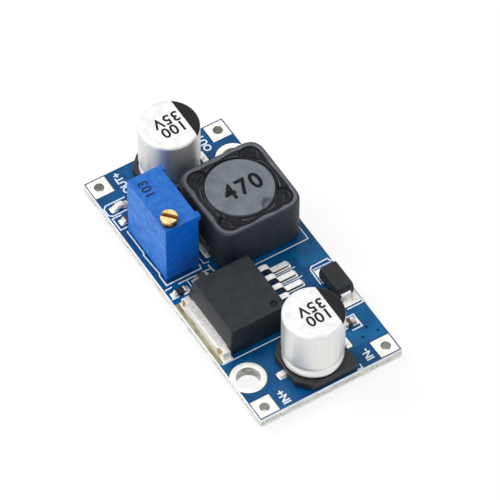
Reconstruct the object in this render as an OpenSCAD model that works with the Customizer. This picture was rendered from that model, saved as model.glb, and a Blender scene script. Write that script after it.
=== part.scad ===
// Step-down converter module: a blue circuit board with its coil, regulator,
// two can capacitors, rectifier, indicator lamp and multi-turn trimmer.
//
// Frame: the origin is at the board's centre on its underside. X runs along the
// board from the output end to the input end, Y from the + side to the - side,
// and Z up through the board. Sizes are in millimetres.

/* [Board] */
// Thickness of the board
board_t = 1.6; // [1:0.1:2]
// Thickness of a tinned copper land
land_t = 0.05; // [0.03:0.01:0.1]
// Wall of the plating inside a hole
plating_t = 0.04; // [0.03:0.01:0.08]
// Side of a square terminal pad
terminal_pad = 2.9; // [2.5:0.1:3]
// Bore of a terminal pad
terminal_hole_d = 1.35; // [1:0.05:1.6]
// Terminal hole's distance from both board edges
terminal_inset = 1.5; // [1.5:0.05:1.7]
// Bore of a mounting hole
mount_hole_d = 3.1; // [2.8:0.1:3.3]
// Outside of a mounting hole's plated ring
mount_ring_d = 4.7; // [4.2:0.1:5]

/* [Layout along the board] */
// Board beyond the output capacitor's base plate
output_margin = 0.05; // [0:0.05:1]
// Gap from the output capacitor's base plate to the inductor
can_coil_gap = 1.35; // [1:0.05:2]
// Gap from the inductor to the regulator
coil_regulator_gap = 1.17; // [0.8:0.01:2]
// Gap from the regulator to the input capacitor's base plate
regulator_can_gap = 1.52; // [1:0.01:2]
// Board beyond the input capacitor's base plate
input_margin = 0.35; // [0:0.05:1]
// Gap from the trimmer's end to the regulator
trimmer_regulator_gap = 4.02; // [3.8:0.02:4.3]
// Mounting hole's distance from the end of the board
mount_end = 6.35; // [6.2:0.05:6.5]
// Diode's centre, from the input end of the board
diode_end = 12.55; // [12.2:0.05:12.8]
// Bypass capacitor's centre, from the input end of the board
bypass_end = 6.65; // [6.4:0.05:6.9]
// Indicator lamp's centre, from the output end of the board
lamp_end = 5.5; // [5.3:0.05:5.7]
// Lamp resistor's centre, from the output end of the board
lamp_resistor_end = 7.8; // [7.5:0.05:8]
// Feedback resistor's centre, from the regulator's side
feedback_resistor_side = 1.72; // [1.5:0.02:1.9]
// Feedback capacitor's centre, from the regulator's side
feedback_capacitor_side = 2.12; // [1.9:0.02:2.3]

/* [Layout across the board] */
// Board in front of the trimmer
trimmer_margin = 1.1; // [1:0.05:1.6]
// Gap from the trimmer to the inductor
trimmer_coil_gap = 2; // [1.6:0.05:2.4]
// Board behind the inductor
coil_margin = 0.9; // [0.9:0.05:1.6]
// Board in front of the regulator's tab
tab_margin = 0.7; // [0.6:0.05:1.1]
// Board behind the diode
diode_margin = 0.55; // [0.4:0.05:0.8]
// Mounting hole's distance from the board's long edge
mount_edge = 2.12; // [2:0.02:2.4]
// Lamp's and its resistor's centres, from the board's + edge
lamp_edge = 2.1; // [1.9:0.05:2.4]
// Feedback resistor's centre, from the board's + edge
feedback_resistor_edge = 1.7; // [1.5:0.05:1.8]
// Feedback capacitor's centre, from the board's + edge
feedback_capacitor_edge = 5.1; // [4.9:0.05:5.4]
// Bypass capacitor's centre, from the board's - edge
bypass_edge = 3.7; // [3.5:0.05:4]

/* [Can capacitors] */
// Diameter of a can
can_d = 8; // [6.3:0.1:8.1]
// Height of a can above its base plate
can_h = 8.9; // [6:0.1:12]
// Rounding of a can's top and bottom edges
can_edge_r = 0.45; // [0.2:0.05:0.8]
// Height of the crimp groove above the base plate
crimp_z = 1.35; // [1.2:0.05:2]
// Depth of the crimp groove
crimp_depth = 0.3; // [0.1:0.05:0.4]
// Thickness of the rubber bung in the can's mouth
bung_t = 1.1; // [0.8:0.1:1.2]
// Side of the square base plate
base_side = 8.3; // [8.3:0.05:8.5]
// Thickness of the base plate
base_t = 1.2; // [1:0.1:1.5]
// Corner cut on the base plate's positive side
base_cut = 1.7; // [1:0.1:2]
// Thickness of a capacitor lead
can_lead_t = 0.3; // [0.2:0.05:0.4]
// Width of a capacitor lead
can_lead_w = 0.8; // [0.6:0.05:1]
// Distance between a capacitor's two leads in the base
can_lead_pitch = 3.1; // [2.8:0.1:3.5]
// How far a lead shows past the base plate
can_lead_reach = 0.75; // [0.4:0.05:1]

/* [Inductor] */
// Side of the square ferrite shield
shield_side = 12; // [11.6:0.1:12.2]
// Height of the shield
shield_h = 7; // [5:0.1:8]
// Corner radius of the shield
shield_r = 2.2; // [1.5:0.1:3]
// Bore of the shield
shield_bore_d = 9.9; // [9.6:0.1:10.2]
// Diameter of the drum's flanges
drum_d = 8.95; // [8.5:0.05:9.2]
// Diameter of the drum's core
drum_core_d = 4.2; // [3:0.1:5]
// Thickness of a drum flange
flange_t = 1.3; // [1:0.1:1.6]
// How far the drum stands above the shield
drum_rise = 0.25; // [0.1:0.05:0.5]
// Diameter of the coil's wire
wire_d = 0.5; // [0.3:0.05:0.6]
// Depth of the adhesive between drum and shield
adhesive_depth = 0.9; // [0.5:0.1:1.2]
// Radius of the adhesive pocket in each shield corner
pocket_r = 1.45; // [1.2:0.05:1.55]
// Bevel round the shield's top
shield_bevel = 0.15; // [0.05:0.05:0.3]
// Width of a terminal clip
clip_w = 5; // [3:0.1:5.4]
// Thickness of a terminal clip
clip_t = 0.15; // [0.1:0.01:0.2]
// Height of a clip up the shield's side
clip_rise = 1.8; // [1:0.1:2.5]
// Length of a clip under the shield
clip_foot = 2.6; // [2:0.1:3.5]

/* [Trimmer] */
// Length of the trimmer's housing
housing_l = 9.5; // [9.3:0.05:9.8]
// Width of the trimmer's housing
housing_w = 4.8; // [4.75:0.05:5]
// Height of the housing without its feet
housing_h = 10; // [9.8:0.1:11]
// Height of the feet under the housing
foot_h = 0.4; // [0.2:0.05:0.6]
// Wall of the housing
housing_wall = 0.5; // [0.4:0.05:0.6]
// Screw axis, from the housing's end and from its front face
screw_inset = 1.27; // [1.25:0.01:1.35]
// Diameter of the screw's head
screw_head_d = 2.2; // [2:0.05:2.4]
// Height of the screw's head above the housing
screw_head_h = 1.15; // [0.8:0.05:1.5]
// Diameter of the screw's shank in the housing
shank_d = 2; // [1.96:0.01:2.04]
// Width of the screwdriver slot
slot_w = 0.6; // [0.4:0.05:0.7]
// Depth of the screwdriver slot
slot_depth = 0.6; // [0.4:0.05:0.8]
// Direction of the slot, from the board's length
slot_turn = 42; // [0:1:180]
// Teeth on the worm wheel, one for each turn of the screw
wheel_teeth = 30; // [28:1:31]
// Pitch radius of the worm wheel
wheel_r = 3.1; // [3:0.02:3.12]
// Pitch radius of the worm
worm_r = 0.84; // [0.82:0.01:0.85]
// Height of a thread or tooth outside its pitch radius
addendum = 0.12; // [0.08:0.01:0.13]
// Width of a thread or tooth on its pitch line
tooth_w = 0.22; // [0.16:0.01:0.24]
// Full turns of thread on the worm
worm_turns = 5; // [4:1:6]
// Thickness of the worm wheel
wheel_t = 0.9; // [0.7:0.05:1]
// Radius of the post that carries the worm wheel
post_r = 0.8; // [0.6:0.05:1]
// Running clearance on the screw's shank, the worm wheel and the screw's tip
running = 0.03; // [0.01:0.01:0.05]
// Thickness of the ceramic element
element_t = 0.6; // [0.5:0.05:0.7]
// Radius of a trimmer pin
pin_r = 0.25; // [0.2:0.01:0.3]
// Distance between neighbouring pins
pin_pitch = 2.54; // [2.5:0.01:2.6]
// Length of a pin below the board
pin_stub = 0.9; // [0.5:0.1:1.5]
// Length of a pin inside the housing
pin_root = 3.4; // [2:0.1:6]

/* [Regulator] */
// Width of the regulator's moulded body
regulator_w = 10.16; // [9.8:0.02:10.3]
// Length of the body along its leads
regulator_l = 8.9; // [8.5:0.05:9.1]
// Height of the body
regulator_h = 4.35; // [3.8:0.05:4.8]
// Lean of each moulded side, for release from its mould
draft = 0.45; // [0.1:0.05:0.6]
// Thickness of the metal tab
tab_t = 1.27; // [1:0.01:1.4]
// How far the tab shows past the body
tab_reach = 1.2; // [0.9:0.05:1.4]
// Distance between neighbouring leads
lead_pitch = 1.7; // [1.6:0.02:1.75]
// Width of a lead
lead_w = 0.8; // [0.6:0.05:0.9]
// Thickness of a lead
lead_t = 0.5; // [0.4:0.05:0.6]
// Length from the body to a lead's toe
lead_reach = 4.6; // [4:0.1:4.8]
// Height of the leads where they leave the body
lead_plane = 1.7; // [1.2:0.05:2.2]

/* [Diode] */
// Length of the diode's moulded body
diode_l = 4.3; // [4:0.05:4.6]
// Width of the body
diode_w = 2.6; // [2.3:0.05:2.8]
// Height of the body above its leads' feet
diode_h = 2.1; // [1.8:0.05:2.4]
// Thickness of a diode lead
diode_lead_t = 0.2; // [0.15:0.01:0.25]
// Width of a diode lead
diode_lead_w = 1.45; // [1.2:0.05:1.6]

/* [Chip parts] */
// Length of a chip
chip_l = 1.6; // [1.4:0.05:1.7]
// Width of a chip
chip_w = 0.8; // [0.7:0.05:0.9]
// Height of a chip resistor
resistor_h = 0.45; // [0.35:0.05:0.55]
// Height of a chip capacitor
ceramic_h = 0.8; // [0.6:0.05:0.9]
// Length of a chip's metal end
end_l = 0.3; // [0.2:0.05:0.4]
// Thickness of a chip's metal end
end_t = 0.03; // [0.02:0.01:0.05]
// How far a chip's land reaches past its end
land_reach = 0.5; // [0.3:0.05:0.6]
// Height of the indicator lamp's substrate
lamp_base_h = 0.3; // [0.2:0.05:0.4]
// Height of the indicator lamp's clear lens
lamp_lens_h = 0.35; // [0.2:0.05:0.5]

/* [Hidden] */
$fn = 48;

// Heights that everything on the board stands on
land_z = board_t + land_t;

// The board is as long and as wide as the rows of parts on it need
board_l = output_margin + base_side + can_coil_gap + shield_side + coil_regulator_gap
    + regulator_w + regulator_can_gap + base_side + input_margin;
board_w = trimmer_margin + housing_w + trimmer_coil_gap + shield_side + coil_margin;
input_end = board_l / 2;
output_end = -board_l / 2;
minus_edge = board_w / 2;
plus_edge = -board_w / 2;

// Centres of the parts
input_can_x = input_end - input_margin - base_side / 2;
output_can_x = output_end + output_margin + base_side / 2;
inductor_x = output_end + output_margin + base_side + can_coil_gap + shield_side / 2;
inductor_y = minus_edge - coil_margin - shield_side / 2;
regulator_x = inductor_x + shield_side / 2 + coil_regulator_gap + regulator_w / 2;
regulator_y = plus_edge + tab_margin + tab_reach + regulator_l / 2;
regulator_side = regulator_x - regulator_w / 2;
trimmer_x = regulator_side - trimmer_regulator_gap - housing_l / 2;
trimmer_y = plus_edge + trimmer_margin + housing_w / 2;
diode_x = input_end - diode_end;
diode_y = minus_edge - diode_margin - diode_w / 2;
lamp_spot = [output_end + lamp_end, plus_edge + lamp_edge];
lamp_resistor_spot = [output_end + lamp_resistor_end, plus_edge + lamp_edge];
feedback_resistor_spot = [regulator_side - feedback_resistor_side, plus_edge + feedback_resistor_edge];
feedback_capacitor_spot =
    [regulator_side - feedback_capacitor_side, plus_edge + feedback_capacitor_edge];
bypass_capacitor_spot = [input_end - bypass_end, minus_edge - bypass_edge];

// Corners of the board: which end, which edge
corners = [[1, 1], [-1, 1], [-1, -1], [1, -1]];
terminal_x = input_end - terminal_inset;
terminal_y = minus_edge - terminal_inset;
mount_spots = [[input_end - mount_end, plus_edge + mount_edge],
    [output_end + mount_end, minus_edge - mount_edge]];

// Can capacitors
base_lift = 0.03;
base_z = land_z + base_lift;
can_z = base_z + base_t;
groove_w = 0.7;
mouth_wall = 0.35;
mouth_d = can_d - 2 * crimp_depth - 2 * mouth_wall;
bung_inset = 0.12;
can_lead_tip = base_side / 2 + can_lead_reach;
land_margin = 0.5;
can_land = [can_lead_w + 2 * land_margin, 3.6];
can_land_y = can_lead_tip + land_margin - can_land.y / 2;

// Inductor
shield_z = land_z + clip_t;
shield_top = shield_z + shield_h;
drum_top = shield_top + drum_rise;
pocket_out = 0.45;
coil_z = shield_z + flange_t;
coil_h = drum_top - flange_t - coil_z;
coil_rows = floor(coil_h / wire_d);
coil_layers = floor((drum_d - drum_core_d) / 2 / wire_d);
clip_out = shield_side / 2 + clip_t / 2;
clip_land_out = 0.8;
inductor_land = [clip_w + clip_land_out, clip_foot + clip_land_out];
inductor_land_y = clip_out + clip_land_out - inductor_land.y / 2;

// Trimmer, measured from its own centre on the board's top face
housing_top = foot_h + housing_h;
floor_z = foot_h + housing_wall;
screw_dx = housing_l / 2 - screw_inset;
screw_dy = screw_inset - housing_w / 2;
wheel_dx = screw_dx - worm_r - wheel_r;
wheel_out_r = wheel_r + addendum;
root_gap = 0.06;
wheel_root_r = wheel_r - addendum - root_gap;
worm_out_r = worm_r + addendum;
worm_core_r = worm_r - addendum - root_gap;
thread_pitch = 2 * PI * wheel_r / wheel_teeth;
worm_h = worm_turns * thread_pitch;
flank_slope = tan(20);
pocket_gap = 0.2;
wheel_z = floor_z + wheel_out_r + pocket_gap + 0.9;
wheel_back = screw_dy + wheel_t / 2;
housing_front = screw_dy - screw_inset + housing_wall;
worm_channel_r = worm_out_r + 0.1;
shank_bore_r = shank_d / 2 + running;
lip_h = 0.3;
lip_depth = 1.66;
lip_z = housing_top - lip_depth;
lip_r = worm_out_r - 0.04;
retain_gap = 0.05;
seal_groove_h = 0.42;
seal_groove_z = lip_z + lip_h + 0.3;
seal_groove_r = shank_d / 2 - 0.28;
seal_r = (shank_bore_r - seal_groove_r) / 2 - 0.005;
tip_r = 0.5;
tip_gap = 0.1;
tip_depth = 0.6;
channel_z = floor_z + tip_depth;
wiper_t = 0.15;
wiper_hub_r = 1.5;
wiper_gap = 0.02;
wiper_arm_t = 0.12;
wiper_arm_w = 1;
wiper_room = 1;
element_y = wheel_back + wiper_room;
element_w = housing_l - 2 * housing_wall;
element_h = housing_h - housing_wall;
resin_inset = 0.3;
pin_y = element_y + element_t + pin_r;
pin_top = foot_h + pin_root;
pin_hole_r = pin_r + 0.14;
pin_land_r = 0.8;
pin_xs = [for (i = [-1:1]) trimmer_x + i * pin_pitch];

// Regulator
regulator_front = regulator_l / 2;
lead_root = 0.9;
lead_shoulder = lead_reach * 0.33;
lead_heel = lead_reach * 0.47;
body_lift = 0.1;
land_past_toe = 0.4;
lead_xs = [for (i = [-2:2]) i * lead_pitch];
lead_land = [lead_w + 0.25, 2.8];
tab_in_w = regulator_w - 1.76;
tab_in_l = regulator_l - 2.9;
tab_bite = 0.6;
tab_notch = [0.9, 0.35];
tab_notch_in = 0.8;
tab_land = [regulator_w + 0.74, 9.6];
tab_land_out = 0.4;
mark_r = 0.5;
mark_depth = 0.1;
mark_spot = [regulator_w / 2 - 1.48, regulator_front - 1.7];

// Diode
diode_lead_out = 0.2;
diode_lift = 0.03;
diode_land = [2.1, 2.2];
diode_land_out = diode_lead_out + 0.9;
diode_lean = 0.15;

// Chips: each lies with its length along Y
chip_spots = [lamp_spot, lamp_resistor_spot, feedback_resistor_spot, feedback_capacitor_spot,
    bypass_capacitor_spot];
chip_heights = [lamp_base_h, resistor_h, resistor_h, ceramic_h, ceramic_h];
chip_land = [chip_w + 0.2, land_reach + 0.5];

// ---- Shared shapes ----

// Box centred on X and Y that stands on Z = 0
module slab(x, y, z) {
    translate([-x / 2, -y / 2, 0]) cube([x, y, z]);
}

function across(v) = [-v.y, v.x] / norm(v);

// Point beside a path's corner, at distance s, where both sides' offsets meet
function beside(path, i, s) =
    let (last = len(path) - 1)
    let (before = across(i == 0 ? path[1] - path[0] : path[i] - path[i - 1]))
    let (after = across(i == last ? path[last] - path[last - 1] : path[i + 1] - path[i]))
    path[i] + s * (before + after) / (1 + before * after);

// Outline of sheet metal of thickness t bent along a path
function strip(path, t) = concat(
    [for (i = [0:len(path) - 1]) beside(path, i, t / 2)],
    [for (i = [len(path) - 1:-1:0]) beside(path, i, -t / 2)]
);

// Sheet metal bent in the YZ plane, w wide along X
module bent_y(path, t, w) {
    translate([-w / 2, 0, 0]) rotate([90, 0, 90]) linear_extrude(w) polygon(strip(path, t));
}

// Solder fillet with its foot along +Y, h high against the face at Y = 0
module fillet(w, l, h) {
    translate([-w / 2, 0, 0]) rotate([90, 0, 90]) linear_extrude(w)
        polygon([[0, 0], [l, 0], [l * 0.4, h * 0.3], [0, h]]);
}

// Moulded block: sides lean inward above and below its parting line at split
module moulded(x, y, h, split, lean) {
    foot_lean = lean / 3;
    intersection() {
        rotate([90, 0, 0]) translate([0, 0, -y]) linear_extrude(2 * y)
            polygon([[-x / 2 + foot_lean, 0], [x / 2 - foot_lean, 0], [x / 2, split],
                [x / 2 - lean, h], [-x / 2 + lean, h], [-x / 2, split]]);
        rotate([90, 0, 90]) translate([0, 0, -x]) linear_extrude(2 * x)
            polygon([[-y / 2 + foot_lean, 0], [y / 2 - foot_lean, 0], [y / 2, split],
                [y / 2 - lean, h], [-y / 2 + lean, h], [-y / 2, split]]);
    }
}

// ---- Board ----

module printed_circuit_board() {
    color("#124a86")
    difference() {
        slab(board_l, board_w, board_t);
        for (c = corners) translate([c.x * terminal_x, c.y * terminal_y, -1])
            cylinder(d = terminal_hole_d + 2 * plating_t, h = board_t + 2);
        for (m = mount_spots) translate([m.x, m.y, -1])
            cylinder(d = mount_hole_d + 2 * plating_t, h = board_t + 2);
        for (x = pin_xs) translate([x, trimmer_y + pin_y, -1])
            cylinder(r = pin_hole_r + plating_t, h = board_t + 2);
    }
}

// Plated hole: a pad on each face, joined by the lining of the hole
module plated_hole(hole_d) {
    difference() {
        union() {
            translate([0, 0, -land_t]) linear_extrude(land_t) children();
            translate([0, 0, board_t]) linear_extrude(land_t) children();
            translate([0, 0, -land_t]) cylinder(d = hole_d + 2 * plating_t, h = board_t + 2 * land_t);
        }
        translate([0, 0, -1]) cylinder(d = hole_d, h = board_t + 2);
    }
}

module corner_pads() {
    color("#e8e6dc")
    for (c = corners) translate([c.x * terminal_x, c.y * terminal_y, 0])
        plated_hole(terminal_hole_d) square(terminal_pad, center = true);
}

// The ring's outside is cut off flush where it would pass the board's edge
module mounting_rings() {
    color("#dcdcd8")
    for (m = mount_spots) translate([m.x, m.y, 0])
        plated_hole(mount_hole_d)
            intersection() {
                circle(d = mount_ring_d);
                translate([-m.x, -m.y]) square([board_l, board_w], center = true);
            }
}

// Land of a size, centred at a spot on the board's top face
module land(spot, size) {
    translate([spot.x, spot.y, board_t]) slab(size.x, size.y, land_t);
}

module component_lands() {
    color("#d8d8d4") {
        for (x = [input_can_x, output_can_x], s = [-1, 1]) land([x, s * can_land_y], can_land);
        for (s = [-1, 1]) land([inductor_x, inductor_y + s * inductor_land_y], inductor_land);
        for (x = lead_xs)
            land([regulator_x + x, regulator_y + regulator_front + lead_reach + land_past_toe - lead_land.y / 2],
                lead_land);
        land([regulator_x, regulator_y - regulator_front - tab_reach - tab_land_out + tab_land.y / 2],
            tab_land);
        for (s = [-1, 1])
            land([diode_x + s * (diode_l / 2 + diode_land_out - diode_land.x / 2), diode_y], diode_land);
        for (c = chip_spots, s = [-1, 1])
            land([c.x, c.y + s * (chip_l / 2 + land_reach - chip_land.y / 2)], chip_land);
        for (x = pin_xs) translate([x, trimmer_y + pin_y, 0])
            plated_hole(2 * pin_hole_r) circle(r = pin_land_r);
    }
}

// ---- Can capacitors ----

// Sealed aluminium can: crimp groove, rolled mouth and softened edges
module can_body() {
    r = can_d / 2;
    color("#d9dadb")
    translate([0, 0, can_z]) rotate_extrude()
        difference() {
            union() {
                square([r - can_edge_r, can_h]);
                translate([0, can_edge_r]) square([r, can_h - 2 * can_edge_r]);
                for (z = [can_edge_r, can_h - can_edge_r]) translate([r - can_edge_r, z])
                    circle(r = can_edge_r, $fn = 32);
            }
            translate([r + groove_w * 0.6 - crimp_depth, crimp_z]) circle(r = groove_w * 0.6, $fn = 32);
            square([mouth_d / 2, bung_inset + bung_t]);
        }
}

module can_bung() {
    color("#2b2826")
    translate([0, 0, can_z + bung_inset]) difference() {
        cylinder(d = mouth_d, h = bung_t);
        for (s = [-1, 1]) translate([0, s * can_lead_pitch / 2, -1])
            cylinder(d = can_lead_w, h = bung_t + 2);
    }
}

// Square plate with two cut corners on its positive side, lead holes and lead channels
module can_base() {
    half = base_side / 2;
    color("#1b1b1d")
    translate([0, 0, base_z]) difference() {
        linear_extrude(base_t)
            polygon([[half, half], [-half, half], [-half, base_cut - half], [base_cut - half, -half],
                [half - base_cut, -half], [half, base_cut - half]]);
        for (s = [-1, 1]) {
            translate([0, s * can_lead_pitch / 2, -1]) cylinder(d = can_lead_w, h = base_t + 2);
            translate([0, s * (can_lead_pitch / 2 + half) / 2, -1])
                slab(can_lead_w, half - can_lead_pitch / 2 + 0.02, 1 + can_lead_t - base_lift);
        }
    }
}

// Round lead through bung and base, pressed flat where it lies along the board
module can_leads() {
    foot = can_lead_tip - can_lead_pitch / 2;
    color("#c9cac8")
    for (s = [-1, 1]) translate([0, s * can_lead_pitch / 2, land_z]) {
        cylinder(d = can_lead_w, h = base_lift + base_t + bung_inset + bung_t);
        translate([0, s * foot / 2, 0]) slab(can_lead_w, foot, can_lead_t);
    }
}

module input_capacitor_can() { translate([input_can_x, 0, 0]) can_body(); }
module input_capacitor_base() { translate([input_can_x, 0, 0]) can_base(); }
module input_capacitor_bung() { translate([input_can_x, 0, 0]) can_bung(); }
module input_capacitor_leads() { translate([input_can_x, 0, 0]) can_leads(); }
module output_capacitor_can() { translate([output_can_x, 0, 0]) can_body(); }
module output_capacitor_base() { translate([output_can_x, 0, 0]) can_base(); }
module output_capacitor_bung() { translate([output_can_x, 0, 0]) can_bung(); }
module output_capacitor_leads() { translate([output_can_x, 0, 0]) can_leads(); }

// ---- Inductor ----

module at_inductor() {
    translate([inductor_x, inductor_y, 0]) children();
}

// Opening of the shield: the round bore, and a pocket towards each corner at the top
module shield_bore(h) {
    translate([0, 0, -1]) cylinder(d = shield_bore_d, h = shield_h + 2);
    for (a = [45:90:315]) rotate(a) translate([shield_bore_d / 2 + pocket_out, 0, shield_h - h])
        cylinder(r = pocket_r, h = h + 1);
}

// Square with rounded corners, its upper edge bevelled
module rounded_block(side, r, h, bevel) {
    straight = side / 2 - r;
    for (turn = [0, 90]) rotate([90, 0, turn]) translate([0, 0, -straight]) linear_extrude(2 * straight)
        polygon([[-side / 2, 0], [side / 2, 0], [side / 2, h - bevel], [side / 2 - bevel, h],
            [bevel - side / 2, h], [-side / 2, h - bevel]]);
    for (c = corners) translate([c.x * straight, c.y * straight, 0]) {
        cylinder(r = r, h = h - bevel);
        translate([0, 0, h - bevel]) cylinder(r1 = r, r2 = r - bevel, h = bevel);
    }
}

module inductor_shield() {
    color("#35373c")
    at_inductor() translate([0, 0, shield_z]) difference() {
        rounded_block(shield_side, shield_r, shield_h, shield_bevel);
        shield_bore(adhesive_depth);
    }
}

module inductor_drum() {
    color("#57595e")
    at_inductor() {
        for (z = [shield_z, drum_top - flange_t]) translate([0, 0, z])
            cylinder(d = drum_d, h = flange_t);
        translate([0, 0, coil_z]) cylinder(d = drum_core_d, h = coil_h);
    }
}

// Rows of enamelled wire around the core, rounded where the outer layer shows
module inductor_winding() {
    core_r = drum_core_d / 2;
    outer_r = core_r + (coil_layers - 0.5) * wire_d;
    color("#9a5a30")
    at_inductor() translate([0, 0, coil_z]) rotate_extrude() {
        translate([core_r, 0]) square([outer_r - core_r, coil_rows * wire_d]);
        for (i = [0:coil_rows - 1]) translate([outer_r, (i + 0.5) * wire_d])
            circle(d = wire_d, $fn = 16);
    }
}

module inductor_adhesive() {
    color("#17181b")
    at_inductor() translate([0, 0, shield_z]) difference() {
        intersection() {
            shield_bore(adhesive_depth);
            translate([0, 0, shield_h - adhesive_depth])
                cylinder(r = shield_bore_d / 2 + pocket_out + 2 * pocket_r, h = adhesive_depth);
        }
        cylinder(d = drum_d, h = shield_h + 2);
    }
}

module inductor_clips() {
    color("#c8c8c4")
    at_inductor() for (a = [0, 180]) rotate(a) translate([0, 0, land_z])
        bent_y([[clip_out - clip_foot, clip_t / 2], [clip_out, clip_t / 2], [clip_out, clip_rise]],
            clip_t, clip_w);
}

// ---- Trimmer ----

module at_trimmer() {
    translate([trimmer_x, trimmer_y, board_t]) children();
}

// Turns a shape drawn about Z so that its axis runs along -Y through the wheel's centre
module at_wheel(y) {
    translate([wheel_dx, y, wheel_z]) rotate([90, 0, 0]) children();
}

module trimmer_housing() {
    lug = [0.9, 0.35, 1];
    foot_l = 1;
    shoulder_r = post_r + 0.4;
    color("#1f5fc4")
    at_trimmer() {
        difference() {
            translate([0, 0, foot_h]) slab(housing_l, housing_w, housing_h);
            // Screw bore, with the lip that its groove snaps over
            translate([screw_dx, screw_dy, lip_z + lip_h]) cylinder(r = shank_bore_r, h = housing_h);
            translate([screw_dx, screw_dy, channel_z]) cylinder(r = lip_r, h = housing_h);
            translate([screw_dx, screw_dy, channel_z])
                cylinder(r = worm_channel_r, h = lip_z - channel_z);
            translate([screw_dx, screw_dy, floor_z]) cylinder(r = tip_r + running, h = housing_h);
            // Wheel pocket and the open back that takes the element
            at_wheel(element_y + 0.01) cylinder(r = wheel_out_r + pocket_gap,
                h = element_y + 0.01 - housing_front);
            translate([0, element_y + housing_w / 2, foot_h - 1])
                slab(element_w, housing_w, element_h + 1);
        }
        // Post and shoulder that carry the wheel
        at_wheel(wheel_back + wiper_t) cylinder(r = post_r, h = wheel_back + wiper_t - housing_front);
        at_wheel(wheel_back - wheel_t - running)
            cylinder(r = shoulder_r, h = wheel_back - wheel_t - running - housing_front);
        for (c = corners) translate([c.x * (housing_l - housing_wall) / 2,
            c.y * (housing_w - foot_l) / 2, 0]) slab(housing_wall, foot_l, foot_h);
        for (s = [-1, 1]) translate([s * (housing_l - lug.x) / 2, (housing_w + lug.y) / 2,
            housing_top - lug.z]) slab(lug.x, lug.y, lug.z);
    }
}

// Radius of the worm's cross-section at an angle from the middle of its thread. Turning
// this outline once in each pitch leaves a thread whose width follows the flank slope.
function worm_edge(a) =
    let (half_w = abs(a) / 360 * thread_pitch)
    max(worm_core_r, min(worm_out_r, worm_r + (tooth_w / 2 - half_w) / flank_slope));

module worm_thread() {
    step = 22.5;
    linear_extrude(worm_h, twist = -360 * worm_turns, slices = 12 * worm_turns, segments = 16)
        polygon([for (a = [-180:step:180 - step]) worm_edge(a) * [cos(a), sin(a)]]);
}

module trimmer_screw() {
    shank_r = shank_d / 2;
    lip_top = lip_z + lip_h;
    worm_z = wheel_z - worm_h / 2;
    worm_top = worm_z + worm_h;
    neck = 0.15;
    head_bevel = 0.12;
    groove_clear = 0.07;
    collar_h = 0.25;
    bite = 0.1;
    color("#c9973f")
    at_trimmer() translate([screw_dx, screw_dy, 0]) {
        difference() {
            union() {
                translate([0, 0, housing_top + neck])
                    cylinder(d = screw_head_d, h = screw_head_h - neck - head_bevel);
                translate([0, 0, housing_top + screw_head_h - head_bevel])
                    cylinder(d1 = screw_head_d, d2 = screw_head_d - 2 * head_bevel, h = head_bevel);
                translate([0, 0, lip_top + retain_gap])
                    cylinder(r = shank_r, h = housing_top + neck - lip_top - retain_gap);
            }
            translate([0, 0, seal_groove_z]) difference() {
                cylinder(r = shank_r + 1, h = seal_groove_h);
                cylinder(r = seal_groove_r, h = seal_groove_h);
            }
            translate([0, 0, housing_top + screw_head_h - slot_depth]) rotate(slot_turn)
                slab(2 * screw_head_d, slot_w, slot_depth + 1);
        }
        // Retaining groove, collar, threaded part and tip
        translate([0, 0, lip_z - retain_gap - bite])
            cylinder(r = lip_r - groove_clear, h = lip_h + 2 * (retain_gap + bite));
        translate([0, 0, lip_z - retain_gap - collar_h]) cylinder(r = worm_out_r, h = collar_h);
        translate([0, 0, worm_top - bite])
            cylinder(r = tip_r, h = lip_z - retain_gap - worm_top + bite);
        translate([0, 0, worm_z]) rotate(180 - 180 * worm_turns) worm_thread();
        translate([0, 0, floor_z + tip_gap])
            cylinder(r = tip_r, h = worm_z + bite - floor_z - tip_gap);
    }
}

module trimmer_seal_ring() {
    color("#1d1d1d")
    at_trimmer() translate([screw_dx, screw_dy, seal_groove_z + seal_groove_h / 2])
        rotate_extrude() translate([(shank_bore_r + seal_groove_r) / 2, 0]) circle(r = seal_r, $fn = 32);
}

// Straight teeth with sloping flanks, a gap between two of them facing the worm
module trimmer_worm_wheel() {
    tip_half = tooth_w / 2 - addendum * flank_slope;
    foot_half = tooth_w / 2 + (wheel_r - wheel_root_r + 0.1) * flank_slope;
    color("#e9e6da")
    at_trimmer() at_wheel(wheel_back) linear_extrude(wheel_t) difference() {
        union() {
            circle(r = wheel_root_r);
            for (i = [0:wheel_teeth - 1]) rotate((i + 0.5) * 360 / wheel_teeth)
                polygon([[wheel_root_r - 0.1, -foot_half], [wheel_out_r, -tip_half],
                    [wheel_out_r, tip_half], [wheel_root_r - 0.1, foot_half]]);
        }
        circle(r = post_r + running);
    }
}

// Spring contact: a washer on the wheel's back with an arm that bends to the element
module trimmer_wiper() {
    touch = wiper_room - wiper_gap - wiper_arm_t;
    root = wiper_hub_r - 0.3;
    bend = wiper_hub_r + 0.1;
    heel = bend + (wheel_r - wiper_hub_r) * 0.45;
    toe = bend + (wheel_r - wiper_hub_r) * 0.7;
    arm = [[root, wiper_arm_t / 2], [bend, wiper_arm_t / 2], [heel, touch], [toe, touch * 0.6]];
    color("#d8c27a")
    at_trimmer() {
        at_wheel(wheel_back + wiper_t) linear_extrude(wiper_t) difference() {
            circle(r = wiper_hub_r);
            circle(r = post_r + running);
        }
        translate([wheel_dx, wheel_back, wheel_z]) rotate([0, -90, 0])
            translate([0, 0, -wiper_arm_w / 2]) linear_extrude(wiper_arm_w)
                polygon(strip(arm, wiper_arm_t));
    }
}

module trimmer_element() {
    color("#f1efe8")
    at_trimmer() translate([0, element_y + element_t / 2, foot_h])
        slab(element_w, element_t, element_h);
}

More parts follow.
